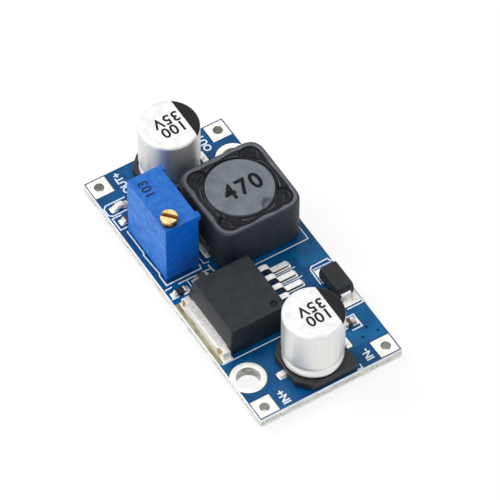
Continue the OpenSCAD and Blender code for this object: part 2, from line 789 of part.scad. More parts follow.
module trimmer_resin() {
    back = housing_w / 2 - resin_inset;
    front = element_y + element_t;
    color("#8a8f96")
    at_trimmer() difference() {
        translate([0, (back + front) / 2, foot_h]) slab(element_w, back - front, element_h);
        for (i = [-1:1]) translate([i * pin_pitch, pin_y, 0]) cylinder(r = pin_r, h = pin_top);
    }
}

module trimmer_pins() {
    color("#cfcfcb")
    at_trimmer() for (i = [-1:1]) translate([i * pin_pitch, pin_y, -board_t - pin_stub])
        cylinder(r = pin_r, h = pin_top + board_t + pin_stub);
}

// ---- Regulator ----

module at_regulator() {
    translate([regulator_x, regulator_y, land_z]) children();
}

module regulator_leads() {
    color("#c6c7c6")
    at_regulator() for (x = lead_xs) translate([x, regulator_front, 0])
        bent_y([[-lead_root, lead_plane], [lead_shoulder, lead_plane], [lead_heel, lead_t / 2],
            [lead_reach, lead_t / 2]], lead_t, lead_w);
}

// Copper tab: the bar that shows, with a notch near each end where it was cut from its
// strip, and the heat spreader that the body is moulded over
module regulator_tab() {
    outer = -regulator_front - tab_reach;
    bar_l = tab_reach + tab_bite;
    notch_x = regulator_w / 2 - tab_notch_in;
    color("#b9bab8")
    at_regulator() difference() {
        union() {
            translate([0, outer + bar_l / 2, 0]) slab(regulator_w, bar_l, tab_t);
            translate([0, outer + bar_l + tab_in_l / 2, 0]) slab(tab_in_w, tab_in_l, tab_t);
        }
        for (s = [-1, 1]) translate([s * notch_x, outer, -1])
            slab(tab_notch.x, 2 * tab_notch.y, tab_t + 2);
    }
}

// The recess in its top marks the first lead
module regulator_body() {
    color("#242528")
    difference() {
        at_regulator() difference() {
            translate([0, 0, body_lift])
                moulded(regulator_w, regulator_l, regulator_h - body_lift, lead_plane - body_lift, draft);
            translate([mark_spot.x, mark_spot.y, regulator_h - mark_depth]) cylinder(r = mark_r, h = 1);
        }
        regulator_tab();
        regulator_leads();
    }
}

// ---- Diode ----

module at_diode() {
    translate([diode_x, diode_y, land_z]) children();
}

module diode_leads() {
    out = diode_l / 2 + diode_lead_out;
    color("#c8c9c7")
    at_diode() for (s = [0, 180]) rotate(s - 90)
        bent_y([[out - 0.5, diode_h / 2], [out, diode_h / 2], [out, diode_lead_t / 2],
            [out - 1.2, diode_lead_t / 2]], diode_lead_t, diode_lead_w);
}

module diode_body() {
    lift = diode_lead_t + diode_lift;
    color("#232426")
    difference() {
        at_diode() translate([0, 0, lift])
            moulded(diode_l, diode_w, diode_h + diode_lead_t - lift, diode_h / 2 - lift, diode_lean);
        diode_leads();
    }
}

// ---- Chip parts ----

module chip_core(spot, h) {
    translate([spot.x, spot.y, land_z + end_t])
        slab(chip_w, chip_l - 2 * end_t, h - 2 * end_t);
}

// Metal that wraps each end of a chip, over and under it
module chip_ends(spot, h) {
    difference() {
        for (s = [-1, 1]) translate([spot.x, spot.y + s * (chip_l - end_l) / 2, land_z])
            slab(chip_w, end_l, h);
        chip_core(spot, h);
    }
}

module indicator_lamp_base() { color("#e8ead8") chip_core(lamp_spot, lamp_base_h); }
module indicator_lamp_ends() { color("#d2d2ce") chip_ends(lamp_spot, lamp_base_h); }
module indicator_lamp_lens() {
    color("#dcead0")
    translate([lamp_spot.x, lamp_spot.y, land_z + lamp_base_h])
        moulded(chip_w, chip_l - 2 * end_l, lamp_lens_h, 0.02, 0.08);
}
module lamp_resistor_body() { color("#1d1e20") chip_core(lamp_resistor_spot, resistor_h); }
module lamp_resistor_ends() { color("#d2d2ce") chip_ends(lamp_resistor_spot, resistor_h); }
module feedback_resistor_body() { color("#1d1e20") chip_core(feedback_resistor_spot, resistor_h); }
module feedback_resistor_ends() { color("#d2d2ce") chip_ends(feedback_resistor_spot, resistor_h); }
module feedback_capacitor_body() { color("#7a5a3e") chip_core(feedback_capacitor_spot, ceramic_h); }
module feedback_capacitor_ends() { color("#d2d2ce") chip_ends(feedback_capacitor_spot, ceramic_h); }
module bypass_capacitor_body() { color("#7a5a3e") chip_core(bypass_capacitor_spot, ceramic_h); }
module bypass_capacitor_ends() { color("#d2d2ce") chip_ends(bypass_capacitor_spot, ceramic_h); }

// ---- Solder ----

module surface_solder() {
    sides = [0, 180];
    color("#c4c5c3")
    translate([0, 0, land_z]) {
        for (i = [0:len(chip_spots) - 1], a = sides)
            translate([chip_spots[i].x, chip_spots[i].y, 0]) rotate(a) translate([0, chip_l / 2, 0])
                fillet(chip_w, land_reach * 0.8, chip_heights[i] * 0.8);
        for (x = [input_can_x, output_can_x], a = sides)
            translate([x, 0, 0]) rotate(a) translate([0, can_lead_tip, 0])
                fillet(can_lead_w, land_margin * 0.7, can_lead_t * 0.9);
        for (a = sides) translate([inductor_x, inductor_y, 0]) rotate(a)
            translate([0, clip_out + clip_t / 2, 0]) fillet(clip_w, clip_land_out * 0.75, clip_rise / 2);
        for (x = lead_xs) translate([regulator_x + x, regulator_y + regulator_front + lead_reach, 0])
            fillet(lead_w, land_past_toe * 0.9, lead_t * 0.8);
        for (a = sides) translate([diode_x, diode_y, 0]) rotate(a - 90)
            translate([0, diode_l / 2 + diode_lead_out + diode_lead_t / 2, 0])
                fillet(diode_lead_w, 0.6, diode_h * 0.38);
        translate([regulator_x, regulator_y - regulator_front - tab_reach, 0]) rotate(180)
            fillet(tab_in_w, tab_land_out * 0.7, tab_t * 0.55);
    }
}

// Solder that fills each plated pin hole and tapers down the pin's stub
module pin_solder() {
    color("#bfc0be")
    for (x = pin_xs) translate([x, trimmer_y + pin_y, 0])
        rotate_extrude() polygon([
            [pin_r, -0.8 * pin_stub], [pin_r + 0.1, -0.8 * pin_stub], [pin_land_r * 0.7, -land_t - 0.15],
            [pin_land_r * 0.9, -land_t], [pin_hole_r, -land_t], [pin_hole_r, land_z],
            [pin_land_r * 0.7, land_z], [pin_r + 0.05, land_z + 0.25], [pin_r, land_z + 0.25]
        ]);
}

printed_circuit_board();
corner_pads();
mounting_rings();
component_lands();
input_capacitor_can();
input_capacitor_base();
input_capacitor_bung();
input_capacitor_leads();
output_capacitor_can();
output_capacitor_base();
output_capacitor_bung();
output_capacitor_leads();
inductor_shield();
inductor_drum();
inductor_winding();
inductor_adhesive();
inductor_clips();
trimmer_housing();
trimmer_screw();
trimmer_seal_ring();
trimmer_worm_wheel();
trimmer_wiper();
trimmer_element();
trimmer_resin();
trimmer_pins();
regulator_body();
regulator_tab();
regulator_leads();
diode_body();
diode_leads();
indicator_lamp_base();
indicator_lamp_lens();
indicator_lamp_ends();
lamp_resistor_body();
lamp_resistor_ends();
feedback_resistor_body();
feedback_resistor_ends();
feedback_capacitor_body();
feedback_capacitor_ends();
bypass_capacitor_body();
bypass_capacitor_ends();
surface_solder();
pin_solder();
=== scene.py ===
from math import acos, copysign, cos, pi, radians, sin, tau

import bmesh
import bpy
from mathutils import Matrix, Vector, noise


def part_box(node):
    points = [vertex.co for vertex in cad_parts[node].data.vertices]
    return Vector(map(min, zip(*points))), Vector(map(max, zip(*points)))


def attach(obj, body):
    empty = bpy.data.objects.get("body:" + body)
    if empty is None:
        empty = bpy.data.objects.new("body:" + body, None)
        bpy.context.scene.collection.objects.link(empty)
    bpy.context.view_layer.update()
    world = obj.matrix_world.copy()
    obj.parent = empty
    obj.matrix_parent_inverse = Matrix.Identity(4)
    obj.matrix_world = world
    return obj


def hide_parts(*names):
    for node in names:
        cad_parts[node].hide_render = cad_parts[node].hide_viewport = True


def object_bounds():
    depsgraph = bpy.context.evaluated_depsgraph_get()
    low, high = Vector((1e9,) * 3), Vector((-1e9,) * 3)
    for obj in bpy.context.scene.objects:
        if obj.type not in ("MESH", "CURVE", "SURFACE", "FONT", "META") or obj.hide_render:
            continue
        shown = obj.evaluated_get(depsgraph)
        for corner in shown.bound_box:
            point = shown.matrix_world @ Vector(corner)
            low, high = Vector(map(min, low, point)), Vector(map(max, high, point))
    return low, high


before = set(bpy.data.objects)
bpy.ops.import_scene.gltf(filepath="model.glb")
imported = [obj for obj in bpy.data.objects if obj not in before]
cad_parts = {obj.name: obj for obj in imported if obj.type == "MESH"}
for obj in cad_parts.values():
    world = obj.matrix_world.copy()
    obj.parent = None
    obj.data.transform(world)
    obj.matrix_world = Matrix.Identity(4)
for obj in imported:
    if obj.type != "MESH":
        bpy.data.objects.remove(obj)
cad_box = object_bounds()

# ---- Studio ----
# The camera looks down on the module's + side and input end through a long lens.
MM = 0.001
DISTANCE = 633.97
turn, tilt, roll = radians(58.263), radians(53.263), radians(0.075)
ahead = Vector((-sin(turn) * cos(tilt), cos(turn) * cos(tilt), -sin(tilt)))
level = Vector((cos(turn), sin(turn), 0))
right = cos(roll) * level + sin(roll) * level.cross(ahead)
up = right.cross(ahead)
camera = bpy.data.objects.new("camera", bpy.data.cameras.new("camera"))
camera.data.sensor_width = 36
camera.data.lens = 360.27
camera.matrix_world = Matrix((right, up, -ahead)).transposed().to_4x4()
camera.location = (1.163 * right + 2.953 * up - DISTANCE * ahead) * MM
bpy.context.scene.collection.objects.link(camera)
bpy.context.scene.camera = camera
bpy.context.scene.view_settings.view_transform = "Standard"


def colour(code):
    """The linear colour of a six-figure colour code"""
    parts = [int(code[i:i + 2], 16) / 255 for i in (0, 2, 4)]
    return tuple(p / 12.92 if p < 0.04045 else ((p + 0.055) / 1.055) ** 2.4 for p in parts)


class Wire:
    """A value inside a finish. Arithmetic on it adds Math nodes, so a finish reads as sums."""

    def __init__(self, finish, socket):
        self.finish = finish
        self.socket = socket

    def math(self, operation, *terms):
        return self.finish.node("Math", {"operation": operation}, dict(enumerate(terms)))

    def __add__(self, other):
        return self.math("ADD", self, other)

    def __sub__(self, other):
        return self.math("SUBTRACT", self, other)

    def __rsub__(self, other):
        return self.math("SUBTRACT", other, self)

    def __mul__(self, other):
        return self.math("MULTIPLY", self, other)

    __radd__ = __add__
    __rmul__ = __mul__


class Finish:
    """A material made of nodes. Its place is a point of the module, in millimetres."""

    def __init__(self, name, tree=None):
        if tree is None:
            self.material = bpy.data.materials.new(name)
            self.material.use_nodes = True
            tree = self.material.node_tree
            tree.nodes.clear()
        self.tree = tree

    def node(self, kind, settings=None, sockets=None, output=0):
        """Any node: its kind, its settings, then what goes into its sockets, colours as codes"""
        made = self.tree.nodes.new("ShaderNode" + kind)
        for key, value in (settings or {}).items():
            setattr(made, key, value)
        for key, value in (sockets or {}).items():
            socket = made.inputs[key]
            if isinstance(value, Wire):
                self.tree.links.new(value.socket, socket)
            elif socket.type == "RGBA":
                socket.default_value = (*colour(value), 1)
            else:
                socket.default_value = value
        return Wire(self, made.outputs[output]) if made.outputs else None

    def rays(self, *kinds):
        """1 for light of these kinds, and 0 for the rest"""
        return sum(self.node("LightPath", output=kind) for kind in kinds)

    def place(self, x=1000, y=1000, z=1000):
        """Where a point is on the module, in millimetres or stretched along an axis"""
        spot = self.node("TexCoord", output="Object")
        return self.node("VectorMath", {"operation": "MULTIPLY"}, {0: spot, 1: (x, y, z)})

    def speckle(self, scale, detail=2, place=None):
        """Soft noise from 0 to 1 with this many features a millimetre"""
        return self.node("TexNoise", {}, {"Vector": place or self.place(), "Scale": scale,
                                          "Detail": detail})

    def step(self, value, low, high):
        """0 below low, 1 above high and a smooth rise between them"""
        return self.node("MapRange", {"interpolation_type": "SMOOTHSTEP"},
                         {"Value": value, "From Min": low, "From Max": high})

    def mix(self, share, first, second):
        """One colour turning into another as share goes from 0 to 1"""
        return self.node("Mix", {"data_type": "RGBA"}, {0: share, 6: first, 7: second}, output=2)

    def relief(self, height, depth):
        """The bumps of a height from 0 to 1, this many millimetres deep"""
        return self.node("Bump", {}, {"Height": height, "Distance": depth * MM, "Strength": 1.0})

    def surface(self, **sockets):
        """Ends the finish in its shader, and gives the material"""
        names = {key.replace("_", " ").title().replace("Ior", "IOR"): value
                 for key, value in sockets.items()}
        shader = self.node("BsdfPrincipled", {}, names)
        self.node("OutputMaterial", {}, {"Surface": shader})
        return self.material


# A plain white table and a white room: both show as white behind the module and in its
# metal, and the table keeps the module's soft shadow.
def floor_finish():
    finish = Finish("white_table")
    shown = finish.rays("Is Camera Ray", "Is Glossy Ray")
    paint = finish.node("BsdfDiffuse", {}, {"Color": "FFFFFF"})
    glow = finish.node("Emission", {}, {"Color": "FFFFFF", "Strength": 1.0})
    table = finish.node("MixShader", {}, {0: shown * 0.86, 1: paint, 2: glow})
    finish.node("OutputMaterial", {}, {"Surface": table})
    return finish.material


FLOOR_HALF = 1.5
floor_mesh = bpy.data.meshes.new("floor")
floor_z = cad_box[0][2]
floor_mesh.from_pydata([(x * FLOOR_HALF, y * FLOOR_HALF, floor_z)
                        for x, y in ((-1, -1), (1, -1), (1, 1), (-1, 1))], [], [(0, 1, 2, 3)])
floor_mesh.materials.append(floor_finish())
floor = bpy.data.objects.new("floor", floor_mesh)
bpy.context.scene.collection.objects.link(floor)

world = bpy.data.worlds.new("white_room")
bpy.context.scene.world = world
world.use_nodes = True
world.node_tree.nodes.clear()
room = Finish("white_room", world.node_tree)
seen = room.rays("Is Camera Ray", "Is Glossy Ray", "Is Transmission Ray")
soft = room.node("Background", {}, {"Color": "FBFCFF", "Strength": 0.62})
white = room.node("Background", {}, {"Color": "FFFFFF", "Strength": 1.0})
room.node("OutputWorld", {}, {"Surface": room.node("MixShader", {}, {0: seen, 1: soft, 2: white})})


def lamp(name, spot, size, power):
    """A square softbox that faces the module"""
    light = bpy.data.lights.new(name, "AREA")
    light.energy = power
    light.size = size
    box = bpy.data.objects.new(name, light)
    box.location = spot
    box.rotation_euler = (-Vector(spot)).to_track_quat("-Z", "Y").to_euler()
    bpy.context.scene.collection.objects.link(box)


lamp("key_softbox", (-0.45, -0.42, 0.75), 0.4, 4.6)
lamp("fill_softbox", (0.3, -0.7, 0.5), 0.6, 0.9)
lamp("back_softbox", (0.1, 0.5, 0.75), 0.5, 1.1)

# ---- Circuit board ----
# A sheet of glass-epoxy laminate with blue solder mask on both faces, drilled for its
# terminals, screws and trimmer pins. It was scored and snapped from a panel of boards,
# so its edges are pale, sloped at both faces and rough where they broke.


def span(node):
    """A CAD node's lowest and highest corner, in millimetres"""
    low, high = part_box(node)
    return Vector(low) / MM, Vector(high) / MM


def centre(node):
    """A CAD node's middle, in millimetres"""
    low, high = span(node)
    return (low + high) / 2


def soften(piece, width, angle=35):
    """Rounds the edges that are sharper than an angle"""
    rounding = piece.modifiers.new("rounding", "BEVEL")
    rounding.width = width * MM
    rounding.segments = 2
    rounding.angle_limit = radians(angle)


def add_piece(name, bm, finishes, stands_for=(), body="board_assembly", soft=0):
    """Makes a mesh in millimetres a piece that rides on a body, its sharp edges rounded by soft"""
    bmesh.ops.remove_doubles(bm, verts=bm.verts, dist=1e-5)
    bmesh.ops.recalc_face_normals(bm, faces=bm.faces)
    for edge in bm.edges:
        edge.smooth = len(edge.link_faces) == 2 and edge.calc_face_angle() < radians(35)
    for face in bm.faces:
        face.smooth = True
    mesh = bpy.data.meshes.new(name)
    bm.to_mesh(mesh)
    bm.free()
    mesh.transform(Matrix.Scale(MM, 4))
    piece = bpy.data.objects.new(name, mesh)
    bpy.context.scene.collection.objects.link(piece)
    for finish in finishes if isinstance(finishes, list) else [finishes]:
        mesh.materials.append(finish)
    if soft:
        soften(piece, soft)
    even = piece.modifiers.new("even_shading", "WEIGHTED_NORMAL")
    even.keep_sharp = True
    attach(piece, body)
    if stands_for:
        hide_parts(*stands_for)
    return piece


def skin(bm, rings, closed=True, material=0):
    """Joins rings of equally many points by faces, and gives the rings' vertices"""
    rows = [[bm.verts.new(point) for point in ring] for ring in rings]
    count = len(rows[0])
    for upper, lower in zip(rows, rows[1:]):
        for i in range(count if closed else count - 1):
            j = (i + 1) % count
            bm.faces.new((upper[i], upper[j], lower[j], lower[i])).material_index = material
    return rows


def fill(bm, *loops, material=0):
    """A flat face inside the first loop, with the other loops as its holes"""
    edges = []
    for loop in loops:
        for a, b in zip(loop, loop[1:] + loop[:1]):
            edges.append(bm.edges.get((a, b)) or bm.edges.new((a, b)))
    made = bmesh.ops.triangle_fill(bm, edges=edges, use_beauty=True)
    for face in made["geom"]:
        if isinstance(face, bmesh.types.BMFace):
            face.material_index = material


def circle(x, y, radius, z, count):
    return [(x + radius * cos(i * tau / count), y + radius * sin(i * tau / count), z)
            for i in range(count)]


def lathe(bm, x, y, base, profile, count=48, material=0):
    """A turned skin, from its radii and their heights above a base"""
    return skin(bm, [circle(x, y, radius, base + height, count) for radius, height in profile],
                material=material)


def broken_ring(half_x, half_y, inset, rough, z, steps=(144, 70)):
    """The board's outline at one height, bitten into by the rough break"""
    corners = [(-half_x, -half_y), (half_x, -half_y), (half_x, half_y), (-half_x, half_y)]
    ring = []
    for side in range(4):
        (x0, y0), (x1, y1) = corners[side], corners[(side + 1) % 4]
        for i in range(steps[side % 2]):
            share = i / steps[side % 2]
            x, y = x0 + (x1 - x0) * share, y0 + (y1 - y0) * share
            bite = inset + rough * (0.5 + noise.noise(Vector((x * 1.7, y * 1.7, z * 4))))
            limit_x, limit_y = half_x - bite, half_y - bite
            ring.append((max(-limit_x, min(limit_x, x)), max(-limit_y, min(limit_y, y)), z))
    return ring


def mask_finish(name, deep, pale):
    finish = Finish(name)
    cloud = finish.speckle(0.35, 3)
    fine = finish.speckle(6, 2)
    tone = finish.mix(finish.step(cloud, 0.35, 0.65), deep, pale)
    tone = finish.mix(fine * 0.3, tone, "0A689E")
    return finish.surface(base_color=tone, roughness=finish.step(fine, 0, 1) * 0.12 + 0.2,
                          specular_ior_level=0.22, normal=finish.relief(finish.speckle(3, 2), 0.006))


def laminate_finish(name, dark, pale, torn):
    """Bare glass-epoxy: pale, with the fibres and dark resin that the break laid open"""
    finish = Finish(name)
    layers = finish.speckle(1, 3, finish.place(500, 500, 9000))
    fibres = finish.speckle(5, 4)
    tone = finish.mix(finish.step(layers, 0.35, 0.65), dark, pale)
    tone = finish.mix(finish.step(fibres, 0.54, 0.66) * 0.8, tone, torn)
    return finish.surface(base_color=tone, roughness=0.75,
                          normal=finish.relief(fibres + layers, 0.03))


board_high = span("printed_circuit_board")[1]
board_top = board_high.z
pads_high = span("corner_pads")[1]
PAD_SIDE = 2.9
PAD_BORE = 0.675
pad_x = pads_high.x - PAD_SIDE / 2
pad_y = pads_high.y - PAD_SIDE / 2
RING_R = 2.35
SCREW_BORE = 1.55
ring_x = span("mounting_rings")[1].x - RING_R
pins_low, pins_high = span("trimmer_pins")
PIN_R = 0.25
pin_middle, pin_y, _ = centre("trimmer_pins")
pin_xs = [pins_low.x + PIN_R, pin_middle, pins_high.x - PIN_R]
PLATING = 0.03

bm = bmesh.new()
levels = [(board_top, 0.07, 0), (1.15, 0, 0.02), (1.0, 0.03, 0.09), (0.8, 0.04, 0.12),
          (0.6, 0.03, 0.09), (0.45, 0, 0.02), (0, 0.07, 0)]
rings = [broken_ring(board_high.x, board_high.y, inset, rough, z) for z, inset, rough in levels]
score = skin(bm, rings[:2], material=2)
skin(bm, rings[1:-1], material=1)
score_below = skin(bm, rings[-2:], material=2)
holes = [(sx * pad_x, sy * pad_y, PAD_BORE + PLATING) for sx in (-1, 1) for sy in (-1, 1)]
ring_y = board_high.y - 2.12
holes += [(ring_x, -ring_y, SCREW_BORE + PLATING), (-ring_x, ring_y, SCREW_BORE + PLATING)]
holes += [(x, pin_y, PIN_R + 0.14) for x in pin_xs]
bores = [lathe(bm, x, y, 0, [(radius, board_top), (radius, 0)], material=1) for x, y, radius in holes]
fill(bm, score[0], *[bore[0] for bore in bores])
fill(bm, score_below[-1], *[bore[1] for bore in bores])
board_looks = [mask_finish("blue_solder_mask", "003E6D", "005085"),
               laminate_finish("snapped_laminate", "C4C1B2", "F2F1EA", "77756A"),
               laminate_finish("scored_laminate", "DDE3E6", "FBFCFC", "C3C6BF")]
add_piece("board_laminate", bm, board_looks, ["printed_circuit_board"])

# ---- Pads and plated holes ----
# Copper lands and hole linings, dipped in molten tin and blown level with hot air. The
# tin stays a little domed and its edges are soft.
TIN_RISE = 0.05


def tin_finish(name, dark, pale, rough=0.3, depth=0.012, metal=0.4):
    finish = Finish(name)
    cloud = finish.speckle(0.9, 3)
    grain = finish.speckle(9, 2)
    tone = finish.mix(finish.step(cloud, 0.3, 0.62), dark, pale)
    return finish.surface(base_color=tone, metallic=metal,
                          roughness=finish.step(grain, 0.2, 0.8) * 0.2 + rough,
                          normal=finish.relief(cloud * 0.7 + grain * 0.3, depth))


def rounded(corners, radius, steps=4):
    """A polygon's outline with its corners rounded"""
    outline = []
    for i, corner in enumerate(corners):
        here = Vector(corner)
        before = (Vector(corners[i - 1]) - here).normalized() * radius
        after = (Vector(corners[(i + 1) % len(corners)]) - here).normalized() * radius
        for k in range(steps + 1):
            t = k / steps
            outline.append(here + before * (1 - t) ** 2 + after * t ** 2)
    return outline


def oblong(x, y, width, length, radius, z, steps=4):
    """A rounded rectangle at a height, as a ring of points"""
    corners = [(-width / 2, -length / 2), (width / 2, -length / 2),
               (width / 2, length / 2), (-width / 2, length / 2)]
    return [(x + p.x, y + p.y, z) for p in rounded(corners, radius, steps)]


def stack(bm, x, y, width, length, corner, levels, steps=4):
    """Rounded rectangles at these heights, drawn in by these insets and joined by faces"""
    return skin(bm, [oblong(x, y, width - 2 * inset, length - 2 * inset, corner, z, steps)
                     for z, inset in levels])


def domed_land(bm, x, y, width, length, corner=0.22, bore=None):
    """A tinned land whose tin slopes off at its rim, with a bore that its lining runs through"""
    crest = board_top + TIN_RISE
    lip_z = board_top + TIN_RISE * 0.6
    rows = stack(bm, x, y, width, length, corner,
                 [(crest, 0.3), (board_top + TIN_RISE * 0.9, 0.12), (lip_z, 0.03), (board_top, 0)])
    if not bore:
        fill(bm, rows[0])
        return
    bore_x, bore_y, radius = bore
    lip = lathe(bm, bore_x, bore_y, 0, [(radius + 0.06, crest), (radius, lip_z)])
    fill(bm, rows[0], lip[0])
    lathe(bm, bore_x, bore_y, 0, [(radius, lip_z), (radius, 0)], material=1)


tin = tin_finish("levelled_tin", "EFEEE9", "FDFCF8", 0.3, 0.008)
# The hole linings take a darker grey copy of the tin: painted shade down the bores
bore_tin_painted_shade = tin_finish("bore_tin_with_painted_shade", "8B8A84", "C2C1BA")
MASKED = 0.09
PAD_TOP = PAD_SIDE - 2 * MASKED
pads = [(x - copysign(MASKED, x), y - copysign(MASKED, y), x, y) for x, y, _ in holes[:4]]
bm = bmesh.new()
for x, y, bore_x, bore_y in pads:
    domed_land(bm, x, y, PAD_TOP, PAD_TOP, 0.12, (bore_x, bore_y, PAD_BORE))
    under = stack(bm, bore_x, bore_y, PAD_SIDE, PAD_SIDE, 0.2, [(0, 0), (-TIN_RISE, 0.05)])
    fill(bm, under[1], lathe(bm, bore_x, bore_y, 0, [(PAD_BORE, -TIN_RISE), (PAD_BORE, 0)])[0])
add_piece("tinned_corner_pads", bm, [tin, bore_tin_painted_shade], ["corner_pads"])


def rim_line(x, y, radius, z):
    """A circle round a mounting hole, straight where it would leave the board"""
    edge = board_high.y - 0.07
    return [(px, max(-edge, min(edge, py)), pz) for px, py, pz in circle(x, y, radius, z, 96)]


bm = bmesh.new()
for x, y, _ in holes[4:6]:
    for face_z, rise in ((board_top, TIN_RISE), (0, -TIN_RISE)):
        skin(bm, [rim_line(x, y, radius, face_z + rise * share) for radius, share in (
            (RING_R, 0), (RING_R - 0.05, 0.6), (RING_R - 0.2, 1), (SCREW_BORE + 0.15, 1),
            (SCREW_BORE + 0.02, 0.6), (SCREW_BORE, 0))])
    lathe(bm, x, y, 0, [(SCREW_BORE, z) for z in (board_top, 1.1, 0.5, 0)], 96, 1)
add_piece("tinned_mounting_rings", bm, [tin, bore_tin_painted_shade], ["mounting_rings"])

# Round each pad and ring the mask stands back, and a line of bare laminate shows
bare = laminate_finish("laminate_under_the_mask", "1B2730", "414A42", "1C2A38")
bm = bmesh.new()
CLEAR = board_top + 0.004
for x, y, _, _ in pads:
    stack(bm, x, y, PAD_TOP, PAD_TOP, 0.14, [(board_top, -0.075), (CLEAR, -0.065), (CLEAR, 0.02)])
for x, y, _ in holes[4:6]:
    skin(bm, [rim_line(x, y, RING_R + grow, z)
              for grow, z in ((0.09, board_top), (0.08, CLEAR), (-0.02, CLEAR))])
add_piece("clearance_round_pads", bm, bare)

# ---- Component lands ----
# The bare copper lands under every part, tinned with the pads. The regulator's large land
# carries its heat away and runs to the board's + edge, stained by flux in front of the tab.
tab_low, tab_high = span("regulator_tab")
lead_low, lead_high = span("regulator_leads")
diode_lead_low, diode_lead_high = span("diode_leads")
clip_low, clip_high = span("inductor_clips")
LEAD_W = 0.8
LEAD_T = 0.5
TAB_LAND_W = 10.9
lead_pitch = (lead_high.x - lead_low.x - LEAD_W) / 4
lead_xs = [lead_low.x + LEAD_W / 2 + i * lead_pitch for i in range(5)]
CHIPS = ["indicator_lamp", "lamp_resistor", "feedback_resistor", "feedback_capacitor",
         "bypass_capacitor"]
lands = []
for can in ("input_capacitor", "output_capacitor"):
    low, high = span(can + "_leads")
    middle = centre(can + "_leads").x
    lands += [(middle, low.y + 1.3, 1.15, 3.0), (middle, high.y - 1.3, 1.8, 3.6)]
clip_x = centre("inductor_clips").x
lands += [(clip_x, clip_low.y + 1.1, 5.2, 3.2), (clip_x, clip_high.y - 1.1, 5.2, 3.2)]
lands += [(x, lead_high.y - 1.0, LEAD_W + 0.25, 2.8) for x in lead_xs]
diode_y = centre("diode_leads").y
lands += [(diode_lead_low.x + 0.15, diode_y, 2.3, 2.2),
          (diode_lead_high.x - 0.15, diode_y + 0.3, 2.3, 2.6)]
for chip in CHIPS:
    low, high = span(chip + "_ends")
    middle = centre(chip + "_ends").x
    lands += [(middle, low.y, 1.0, 1.0), (middle, high.y, 1.0, 1.0)]
tab_x = centre("regulator_tab").x
bm = bmesh.new()
for x, y, width, length in lands:
    domed_land(bm, x, y, width, length)
domed_land(bm, tab_x, tab_low.y + 0.4, TAB_LAND_W, 2.0)
domed_land(bm, tab_x, tab_low.y + 5.0, 9.4, 8.0)
for x in pin_xs:
    lathe(bm, x, pin_y, board_top, [(0.8, 0), (0.77, 0.04), (0.4, 0.06)], 32)
    lathe(bm, x, pin_y, 0, [(0.8, 0), (0.77, -0.04), (0.4, -0.05)], 32)
add_piece("tinned_component_lands", bm, tin, ["component_lands"])

flux = Finish("baked_flux")
flux_cloud = flux.speckle(1.6, 4, flux.place(400, 1000, 1000))
flux_tone = flux.mix(flux.step(flux_cloud, 0.3, 0.7), "6E6C48", "A3A184")
bm = bmesh.new()
rows = stack(bm, tab_x, tab_low.y - 0.33, TAB_LAND_W, 0.62, 0.2,
             [(board_top + 0.09, 0.12), (board_top + 0.08, 0.04), (board_top, 0)])
fill(bm, rows[0])
add_piece("flux_in_front_of_tab", bm, flux.surface(base_color=flux_tone, roughness=0.4, metallic=0.2,
                                                   normal=flux.relief(flux_cloud, 0.05)))

# Under the mask the copper areas stand a little proud of the bare laminate, and look paler
bm = bmesh.new()
for x, y, width, length in ((2.8, 8.325, 3.3, 3.75), (15.75, 7.325, 5.1, 5.75), (-19.85, -0.15, 2.7, 9.5)):
    rows = stack(bm, x, y, width, length, 0.5,
                 [(board_top, 0), (board_top + 0.012, 0.06), (board_top + 0.016, 0.14)])
    fill(bm, rows[-1])
add_piece("copper_under_mask", bm, mask_finish("mask_over_copper", "00497A", "0A6294"))

# ---- White legend ----
# Outlines and terminal names, screened on the mask in white epoxy ink. The film has a
# thickness that shows at its edges, and the ink is matt.
INK_TOP = board_top + 0.035


def offset_line(points, distance, closed):
    """A line beside a line, at a distance to its left, with mitred corners"""
    side = []
    for i, point in enumerate(points):
        here = Vector(point)
        ways = []
        if i > 0 or closed:
            ways.append(here - Vector(points[i - 1]))
        if i < len(points) - 1 or closed:
            ways.append(Vector(points[(i + 1) % len(points)]) - here)
        normals = [Vector((-way.y, way.x)).normalized() for way in ways]
        mean = sum(normals, Vector((0, 0))) / len(normals)
        side.append(here + mean * 2 * distance / (1 + normals[0].dot(normals[-1])))
    return side


def ribbon(bm, points, width):
    """A raised strip of ink along a line"""
    left = offset_line(points, width / 2, False)
    right_side = offset_line(points, -width / 2, False)
    rows = skin(bm, [[(p.x, p.y, z) for p in side] for side, z in (
        (left, board_top), (left, INK_TOP), (right_side, INK_TOP), (right_side, board_top))], False)
    for end in (0, -1):
        bm.faces.new([row[end] for row in rows])


def ink_finish(name, base, spots, rough=0.6, shine=0.5):
    finish = Finish(name)
    grain = finish.speckle(14, 3)
    tone = finish.mix(finish.step(grain, 0.4, 0.75), base, spots)
    return finish.surface(base_color=tone, roughness=rough, specular_ior_level=shine,
                          normal=finish.relief(grain, 0.008))


